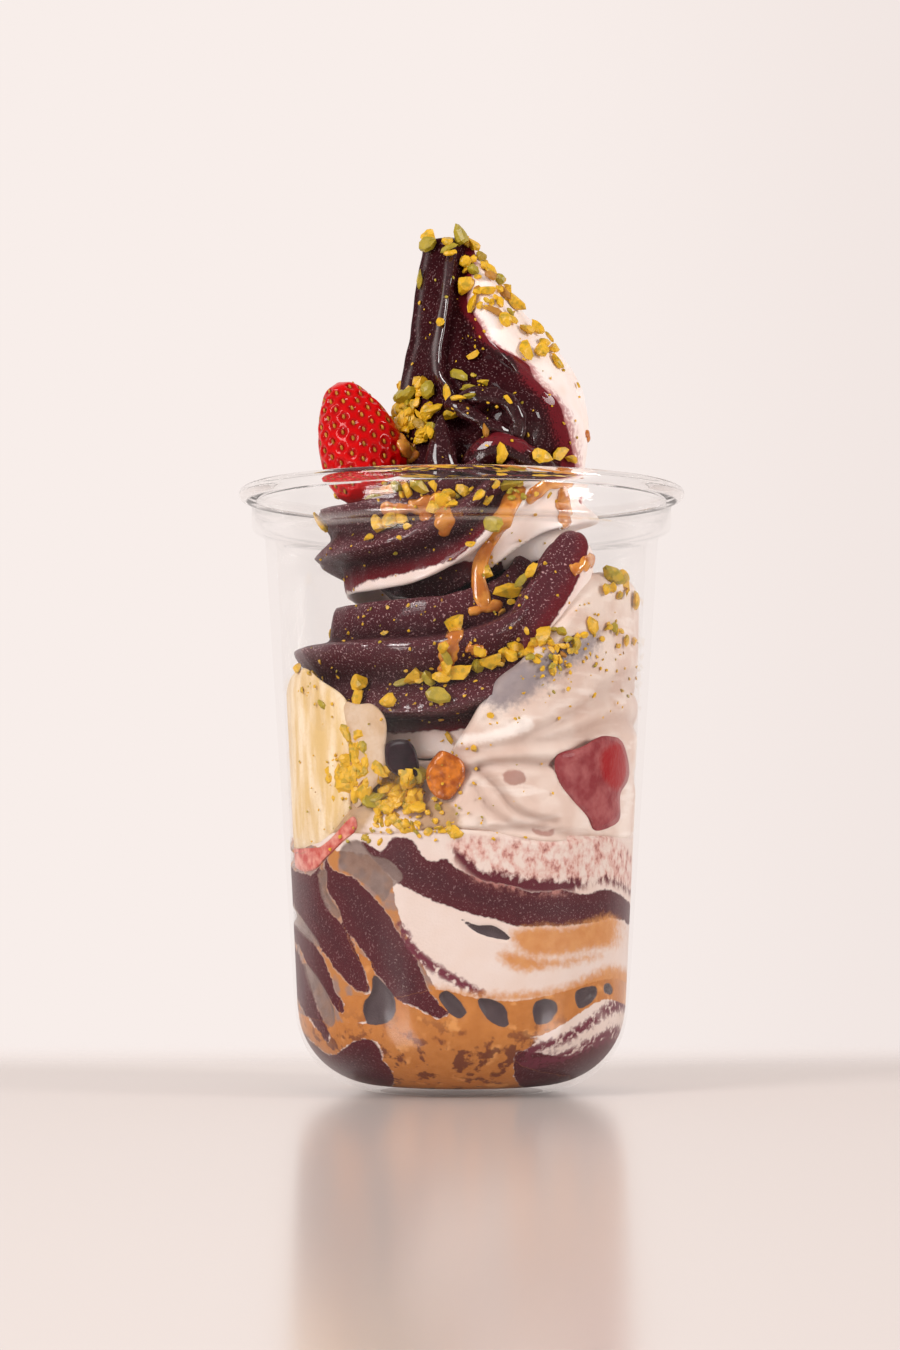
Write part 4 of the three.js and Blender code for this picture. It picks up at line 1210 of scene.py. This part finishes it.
# caramel over the swirl
caramel = {
    "light": linear(224, 150, 62), "deep": linear(188, 108, 36), "flat": 0.62, "pixelsPerMm": 4.9,
    # a run ends where the surface drops by this many mm, and needs this many points
    "drop": 3.0, "shortest": 8,
    # each run: photo pixels along its middle, width in pixels at its start and end, thickness in mm
    "runs": [
        ([(520, 484), (512, 500), (502, 520), (492, 540), (481, 560), (478, 580), (483, 600),
        (487, 612)], 15, 9, 1.5),
        ([(468, 612), (480, 610), (492, 607), (502, 603)], 6, 8, 1.2),
        ([(432, 494), (440, 505), (444, 518), (445, 530), (443, 536)], 14, 11, 1.4),
        ([(408, 506), (424, 502), (444, 503), (456, 498)], 9, 10, 1.1),
        ([(562, 486), (564, 505), (565, 530), (566, 548), (566, 556)], 12, 13, 1.4),
        ([(598, 548), (590, 560), (580, 567), (571, 571)], 10, 9, 1.3),
        ([(526, 500), (540, 490), (556, 482), (575, 480)], 12, 10, 1.0),
        ([(370, 496), (386, 490), (404, 489), (422, 486)], 9, 12, 1.3),
        ([(456, 628), (453, 642), (448, 656), (446, 668)], 13, 10, 1.4),
        ([(466, 647), (476, 650), (486, 655)], 8, 8, 1.2),
        ([(399, 438), (405, 448), (411, 456), (413, 462)], 14, 16, 2.0),
        ([(586, 430), (588, 440), (588, 448)], 4, 6, 1.0),
        ([(380, 507), (396, 511), (412, 508), (424, 511), (428, 520)], 10, 9, 1.2),
        ([(446, 640), (449, 652), (447, 664), (444, 676)], 12, 9, 1.3),
    ],
}


# one tree of all the named pieces' triangles, for casting rays at
def makeRayTree(names):
    points, faces, start = [], [], 0
    for name in names:
        piecePoints, triangles = pieceMeshes[name]
        points.append(piecePoints)
        faces.append(triangles + start)
        start += len(piecePoints)
    return BVHTree.FromPolygons(np.vstack(points).tolist(), np.vstack(faces).tolist())


# where the rays of photo pixels, or their mirror images from behind, first meet a surface: points, normals,
# and which rays did
def castPixels(tree, pixels, behind=False):
    turned = np.array([1.0, -1.0 if behind else 1.0, 1.0])
    rays = photoRays(pixels) * turned
    found = [tree.ray_cast((eye * turned).tolist(), ray.tolist()) for ray in rays]
    met = np.array([hit[0] is not None for hit in found])
    places = np.array([hit[0] if hit[0] is not None else (0, 0, 0) for hit in found], float)
    normals = np.array([hit[1] if hit[0] is not None else (0, -1, 0) for hit in found], float)
    normals *= np.where((normals * rays).sum(-1, keepdims=True) > 0, -1, 1)
    return places, normals, met


# each row moved towards the middle of its neighbours, several times; the ends stay
def smoothRows(rows, passes):
    for _ in range(passes):
        rows = np.vstack([rows[:1], (rows[:-2] + 2 * rows[1:-1] + rows[2:]) / 4, rows[-1:]])
    return rows


# flat tubes along lines cast onto the swirl, swelling by sine waves and closing at their ends; the first
# and longest may bridge a groove, the others end where the surface drops away
def makeCaramel():
    material, tree, output = newMaterial("caramelSauce")
    drift = stepNode(tree, noiseNode(tree, objectPlace(tree), 3.0, 2), 0.35, 0.65)
    colour = mixColour(tree, drift, caramel["light"], caramel["deep"])
    addSkin(tree, output, colour, 0.15, None, {
        "Coat Weight": 0.9, "Coat Roughness": 0.05, "Subsurface Weight": 0.15,
        "Subsurface Radius": (1.0, 0.5, 0.2), "Subsurface Scale": 0.0015})
    surfaces = makeRayTree(["softServeCoils", "standingLobe", "pulledPeak", "vanillaFill", "strawberry"])
    for number, (pixels, startWidth, endWidth, thick) in enumerate(caramel["runs"]):
        path = smoothPath(pixels, 36)
        places, normals, met = castPixels(surfaces, path)
        depths = places[met][:, 1]
        kept = len(depths)
        if number == 0:
            depths = np.minimum(depths, np.linspace(depths[0], depths[-1], kept) + 0.5)
        else:
            drops = np.flatnonzero(np.abs(np.diff(depths)) > caramel["drop"])
            kept = int(drops[0]) + 1 if len(drops) else kept
        if kept < caramel["shortest"]:
            continue
        places = smoothRows(atDepth(path[met][:kept], depths[:kept]), 4)
        normals = smoothRows(normals[met][:kept], 10)
        share = np.linspace(0, 1, kept)
        half = (startWidth + (endWidth - startWidth) * share) / caramel["pixelsPerMm"] / 1.4
        half *= 1 + 0.22 * np.sin(share * 9 + number) + 0.12 * np.sin(share * 23 + 2 * number)
        ends = np.sqrt(np.clip(1 - (2 * share - 1) ** 12, 0, 1))
        ring = sweptPoints(places, normals, np.maximum(half * ends, 0.05),
                           np.maximum(thick * caramel["flat"] * ends, 0.03), 16)
        piece = addGrid(f"caramelRun{number + 1}", ring, material)


makeCaramel()
print("caramel done")

# chopped pistachios
nuts = {
    # two tones of each colour
    "yellow": (linear(240, 190, 30), linear(204, 150, 14)),
    "green": (linear(196, 168, 34), linear(128, 118, 26)),
    "brown": (linear(196, 136, 44), linear(150, 98, 36)),
    # mm from the eye, growth from the seen to the real outline, heights where the wall ends and the rim
    # begins, and the length up to which a piece is a crumb
    "distance": 690.0, "grow": 1.55, "wallTop": 116.0, "rimFrom": 120.0, "crumb": 1.6,
    # photo pixel of each larger piece, its length and width in pixels, and its slope in the picture in
    # degrees
    "named": [
        (456, 240, 24, 13, 25), (432, 245, 17, 12, -30), (448, 242, 12, 9, 60), (464, 243, 13, 9, 40),
        (450, 250, 14, 6, -25), (451, 254, 11, 6, -20), (471, 247, 12, 10, 60), (422, 277, 18, 7, 88),
        (469, 266, 12, 6, 55), (470, 286, 19, 13, -20), (486, 270, 16, 11, 30), (489, 278, 13, 9, 40),
        (488, 293, 15, 11, 10), (475, 303, 18, 10, -50), (502, 295, 14, 8, 50), (512, 306, 18, 12, 45),
        (494, 314, 18, 8, 35), (503, 323, 12, 10, 50), (511, 322, 12, 8, 10), (524, 351, 19, 14, 75),
        (533, 331, 14, 9, 30), (524, 331, 12, 10, 0), (538, 353, 14, 11, 20), (543, 346, 12, 8, 15),
        (556, 364, 15, 9, 70), (550, 351, 10, 8, 60), (442, 324, 9, 8, 0), (474, 358, 10, 9, 0),
        (461, 377, 17, 9, 25), (474, 375, 5, 4, 0), (470, 387, 19, 7, 10), (484, 386, 14, 8, -8),
        (470, 396, 15, 6, -12), (459, 401, 12, 6, 15), (449, 394, 15, 7, 80), (449, 412, 15, 12, 0),
        (508, 400, 8, 5, 40), (486, 429, 12, 6, 85), (419, 382, 12, 9, 15), (411, 399, 20, 14, -30),
        (398, 401, 14, 10, -30), (425, 391, 16, 10, -50), (396, 414, 16, 10, -10), (433, 412, 18, 12, -20),
        (411, 419, 15, 9, 30), (402, 423, 10, 9, 0), (421, 424, 12, 8, 20), (430, 432, 15, 10, -30),
        (409, 430, 10, 8, 50), (411, 446, 11, 9, 20), (422, 440, 12, 9, -20), (416, 408, 12, 9, 60),
        (404, 410, 13, 9, 10), (502, 452, 17, 11, 85), (539, 458, 18, 12, 10), (557, 454, 15, 10, -20),
        (567, 459, 14, 8, 10), (576, 386, 8, 3, 80), (398, 488, 14, 11, 20), (409, 491, 12, 11, 0),
        (420, 486, 15, 11, 30), (432, 485, 11, 8, 70), (374, 496, 15, 6, -10), (463, 492, 13, 10, 40),
        (476, 495, 12, 8, -20), (448, 495, 12, 9, 10), (513, 490, 22, 11, -18), (498, 474, 14, 8, 0),
        (538, 472, 12, 7, 10), (384, 526, 16, 14, 20), (394, 524, 14, 12, 0), (402, 521, 14, 8, 25),
        (408, 528, 10, 6, 10), (371, 541, 8, 6, 0), (324, 520, 18, 7, 60), (316, 512, 8, 6, 30),
        (431, 512, 15, 12, 0), (453, 507, 16, 10, 70), (440, 500, 16, 10, 10), (495, 527, 18, 13, 15),
        (472, 545, 10, 5, 10), (488, 567, 17, 14, 40), (395, 552, 4, 4, 0), (399, 538, 4, 4, 0),
        (507, 594, 25, 13, -15), (526, 585, 15, 9, -40), (536, 573, 13, 9, -50), (499, 611, 8, 5, -30),
        (510, 604, 7, 5, 0), (528, 631, 6, 4, 70), (540, 634, 17, 14, 80), (455, 625, 20, 17, 60),
        (385, 634, 7, 4, 10), (479, 650, 16, 9, 10), (491, 658, 20, 14, 10), (476, 664, 13, 9, 50),
        (495, 665, 14, 8, 0), (503, 653, 11, 9, 60), (514, 651, 15, 11, 0), (512, 660, 12, 9, 40),
        (528, 648, 17, 11, -20), (535, 640, 10, 8, 0), (463, 675, 27, 12, -8), (447, 667, 15, 12, 40),
        (443, 679, 17, 13, 20), (441, 698, 20, 13, 10), (415, 677, 14, 14, 60), (422, 679, 10, 9, 0),
        (429, 679, 15, 12, 75), (403, 683, 14, 5, -15), (363, 685, 17, 16, 80), (361, 701, 19, 9, 82),
        (389, 703, 13, 12, -50), (446, 656, 16, 9, 75), (445, 645, 12, 8, 80), (323, 705, 14, 5, 20),
        (450, 738, 10, 7, 70), (473, 747, 7, 5, 60), (441, 717, 9, 4, 85), (490, 716, 6, 5, 0),
        (596, 567, 12, 9, 20), (611, 579, 24, 16, -10), (626, 586, 20, 14, 60), (632, 600, 14, 9, 50),
        (604, 590, 12, 8, 20), (618, 596, 10, 7, -30), (292, 664, 15, 13, 20), (299, 671, 12, 9, 20),
        (559, 646, 12, 7, 10), (575, 644, 12, 9, 30), (592, 625, 15, 11, 50), (566, 640, 10, 6, 0),
        (551, 670, 11, 9, 20)],
    # heaps: corner, corner, how many, smallest and largest length in pixels
    "heaps": [
        (339, 734, 364, 776, 24, 13, 20), (326, 762, 354, 800, 18, 12, 19),
        (352, 766, 366, 798, 10, 12, 18), (374, 768, 420, 808, 34, 12, 20), (376, 800, 420, 832, 22, 8, 14),
        (366, 824, 420, 842, 10, 5, 9), (443, 824, 462, 836, 6, 9, 14), (418, 800, 450, 834, 10, 4, 8),
        (500, 642, 570, 668, 22, 4, 9), (540, 622, 632, 655, 22, 4, 9), (392, 384, 434, 434, 40, 9, 15),
        (478, 262, 520, 318, 16, 5, 9), (466, 246, 486, 280, 8, 6, 11), (486, 276, 516, 318, 12, 7, 12),
        (300, 660, 330, 700, 4, 4, 7), (540, 640, 640, 705, 34, 2, 5), (440, 470, 560, 500, 14, 5, 10),
        (370, 480, 430, 500, 8, 5, 9), (600, 560, 652, 596, 8, 7, 13)],
    "backHeaps": [
        (430, 240, 520, 330, 26, 9, 16), (430, 330, 580, 470, 40, 9, 16), (330, 480, 590, 600, 50, 9, 16),
        (330, 600, 600, 720, 50, 9, 16)],
    # crumbs over the swirl: corner, corner, how many
    "crumbZones": [
        (400, 250, 580, 460, 90), (320, 490, 560, 600, 60), (300, 600, 540, 730, 110),
        (330, 740, 480, 845, 60), (540, 600, 650, 720, 50), (300, 690, 350, 850, 20),
        (470, 740, 560, 840, 14)],
}


# yellow nuts, some of them green or in green patches, and a few brown, by each one's tone
def makeNutMaterial():
    material, tree, output = newMaterial("pistachio")
    place = objectPlace(tree)
    tone = attributeNode(tree, "tone")
    patch = noiseNode(tree, place, 1.6, 2)
    yellow, green, brown = (mixColour(tree, patch, *nuts[key]) for key in ("yellow", "green", "brown"))
    patches = times(tree, stepNode(tree, patch, 0.5, 0.66), 0.6)
    greenShare = plus(tree, stepNode(tree, tone, 0.78, 0.9), patches, clamp=True)
    colour = mixColour(tree, greenShare, yellow, green)
    colour = mixColour(tree, stepNode(tree, tone, 0.975, 0.985), colour, brown)
    addSkin(tree, output, colour, 0.42, times(tree, noiseNode(tree, place, 0.5, 2), 0.12),
            {"Coat Weight": 0.12, "Coat Roughness": 0.2})
    return material


# nuts where the rays of photo pixels meet the pieces: sized by the scale there, lying flat, a little sunk
# or lifted, and kept inside the wall. Returns places, normals, lengths, widths, thicknesses and
# directions
def layNuts(surfaces, rng, pixels, longs, wides, slopes, sink=0.22, behind=False):
    places, normals, met = castPixels(surfaces, pixels, behind)
    places, normals, longs, wides, slopes = (part[met] for part in (places, normals, longs, wides, slopes))
    atWall = np.hypot(places[:, 0], places[:, 1]) > innerRadius(places[:, 2]) - 0.6
    scale = nuts["distance"] / view["focal"]
    longs, wides = longs * scale * nuts["grow"], wides * scale * nuts["grow"]
    thicks = np.minimum(longs, wides) * rng.uniform(0.6, 0.9, len(longs))
    out = np.where((atWall & (places[:, 2] < nuts["rimFrom"]))[:, None], 0.0, normals)
    lift = rng.uniform(0, 0.7, len(longs)) * (longs > nuts["crumb"])
    places = places + out * (thicks / 2 - sink * thicks + lift)[:, None]
    reached = np.hypot(places[:, 0], places[:, 1])
    most = innerRadius(places[:, 2]) + 0.7 - thicks * 0.5 - 0.15 * lift
    shrink = np.where((places[:, 2] < nuts["wallTop"]) & ((reached > most) | atWall), most / reached, 1.0)
    places[:, :2] *= shrink[:, None]
    slopes = np.radians(slopes)[:, None]
    return places, normals, longs, wides, thicks, np.cos(slopes) * rightDir - np.sin(slopes) * upDir


# the larger nuts one by one, heaps at random pixels in boxes of the photo and behind it, and crumbs
def makePistachios():
    rng = np.random.default_rng(12)
    material = makeNutMaterial()
    surfaces = makeRayTree(pieceMeshes)

    def heap(corners, count, small, large, flattest, every=1, sink=0.22, sides=(False,)):
        pixels = rng.uniform(corners[:2], corners[2:], (count, 2))[::every]
        longs = rng.uniform(small, large, len(pixels))
        return [layNuts(surfaces, rng, pixels, longs, longs * rng.uniform(0.6, flattest, len(pixels)),
                        rng.uniform(-90, 90, len(pixels)), sink, behind) for behind in sides]

    def pour(name, parts, seed):
        joined = (np.concatenate(group) for group in zip(*parts))
        return scatter(name, *joined, material, 0.3, seed, "pistachio")

    named = np.array(nuts["named"], float)
    parts = [layNuts(surfaces, rng, named[:, :2], named[:, 2], named[:, 3], named[:, 4])]
    for *corners, count, small, large in nuts["heaps"]:
        parts += heap(corners, count, small, large, 0.9)
    for *corners, count, small, large in nuts["heaps"] + nuts["backHeaps"]:
        parts += heap(corners, count, small, large, 0.9, every=2, sides=(True,))
    piece = pour("choppedPistachios", parts, 21)
    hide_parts("pistachio_heap")
    parts = []
    for *corners, count in nuts["crumbZones"]:
        parts += heap(corners, count, 1.2, 3.6, 1.0, sink=0.1, sides=(False, True))
    pour("pistachioCrumbs", parts, 22)


makePistachios()
print("pistachios done")

# floor, light, camera
studio = {
    "world": linear(248, 238, 234), "worldRight": linear(241, 230, 226), "fill": 0.6, "mirror": 0.2,
    "floor": linear(224, 215, 210), "fadeFrom": 0.06, "fadeTo": 0.19,
}


# a pale table, partly mirror-like, that fades into the backdrop behind the cup
def makeFloor():
    material, tree, output = newMaterial("paleTable")
    depth = addNode(tree, "ShaderNodeSeparateXYZ", {0: objectPlace(tree)}).outputs["Y"]
    matte = addNode(tree, "ShaderNodeBsdfDiffuse", {"Color": studio["floor"]})
    mirror = addNode(tree, "ShaderNodeBsdfGlossy", {"Color": (0.93, 0.905, 0.895, 1), "Roughness": 0.18})
    shader = addNode(tree, "ShaderNodeMixShader", {0: 0.56, 1: matte.outputs[0], 2: mirror.outputs[0]})
    clear = addNode(tree, "ShaderNodeBsdfTransparent")
    fade = stepNode(tree, depth, studio["fadeFrom"], studio["fadeTo"])
    mixed = addNode(tree, "ShaderNodeMixShader", {0: fade, 1: shader.outputs[0], 2: clear.outputs[0]})
    tree.links.new(mixed.outputs[0], output.inputs["Surface"])
    mesh = bpy.data.meshes.new("table")
    mesh.from_pydata([(-2, -1.2, 0), (2, -1.2, 0), (2, 1.5, 0), (-2, 1.5, 0)], [], [(0, 1, 2, 3)])
    mesh.materials.append(material)
    table = bpy.data.objects.new("table", mesh)
    bpy.context.scene.collection.objects.link(table)


# a rectangular softbox at a place, aimed at a target
def makeLight(name, place, target, width, height, power, colour):
    data = bpy.data.lights.new(name, "AREA")
    data.shape = "RECTANGLE"
    data.size = width
    data.size_y = height
    data.energy = power
    data.color = colour
    lamp = bpy.data.objects.new(name, data)
    lamp.location = place
    lamp.rotation_euler = (Vector(target) - Vector(place)).to_track_quat("-Z", "Y").to_euler()
    bpy.context.scene.collection.objects.link(lamp)


# an even pale backdrop; lit surfaces get part of it, and reflections see it bright only behind the cup
def makeWorld():
    world = bpy.data.worlds.new("studio")
    world.use_nodes = True
    sky = world.node_tree
    path = addNode(sky, "ShaderNodeLightPath").outputs
    generated = addNode(sky, "ShaderNodeTexCoord").outputs["Generated"]
    way = addNode(sky, "ShaderNodeSeparateXYZ", {0: generated}).outputs
    less = times(sky, path["Is Diffuse Ray"], 1 - studio["fill"])
    front = times(sky, path["Is Glossy Ray"], stepNode(sky, way["Y"], 0.6, 0.1))
    mirrored = times(sky, front, 1 - studio["mirror"])
    colour = mixColour(sky, stepNode(sky, way["X"], 0.0, 0.16), studio["world"], studio["worldRight"])
    background = sky.nodes["Background"].inputs
    sky.links.new(colour, background["Color"])
    strength = mathNode(sky, "SUBTRACT", 1.0, mathNode(sky, "MAXIMUM", less, mirrored))
    sky.links.new(strength, background["Strength"])
    bpy.context.scene.world = world


makeFloor()
makeLight("keySoftbox", (-0.85, -0.85, 0.66), (0, 0, 0.1), 0.42, 0.8, 12, (1, 0.98, 0.965))
makeLight("sideSoftbox", (0.95, -0.42, 0.46), (0, 0, 0.3), 0.3, 0.4, 6, (1, 0.98, 0.96))
makeWorld()
scene = bpy.context.scene
scene.view_settings.view_transform = "Standard"

cameraData = bpy.data.cameras.new("camera")
cameraData.lens = view["lens"]
cameraData.sensor_width = 36.0
cameraData.clip_start, cameraData.clip_end = 0.01, 20
camera = bpy.data.objects.new("camera", cameraData)
camera.location = eye * mm
camera.rotation_euler = (math.radians(90 + view["pitch"]), 0, 0)
scene.collection.objects.link(camera)
scene.camera = camera
print("studio done")
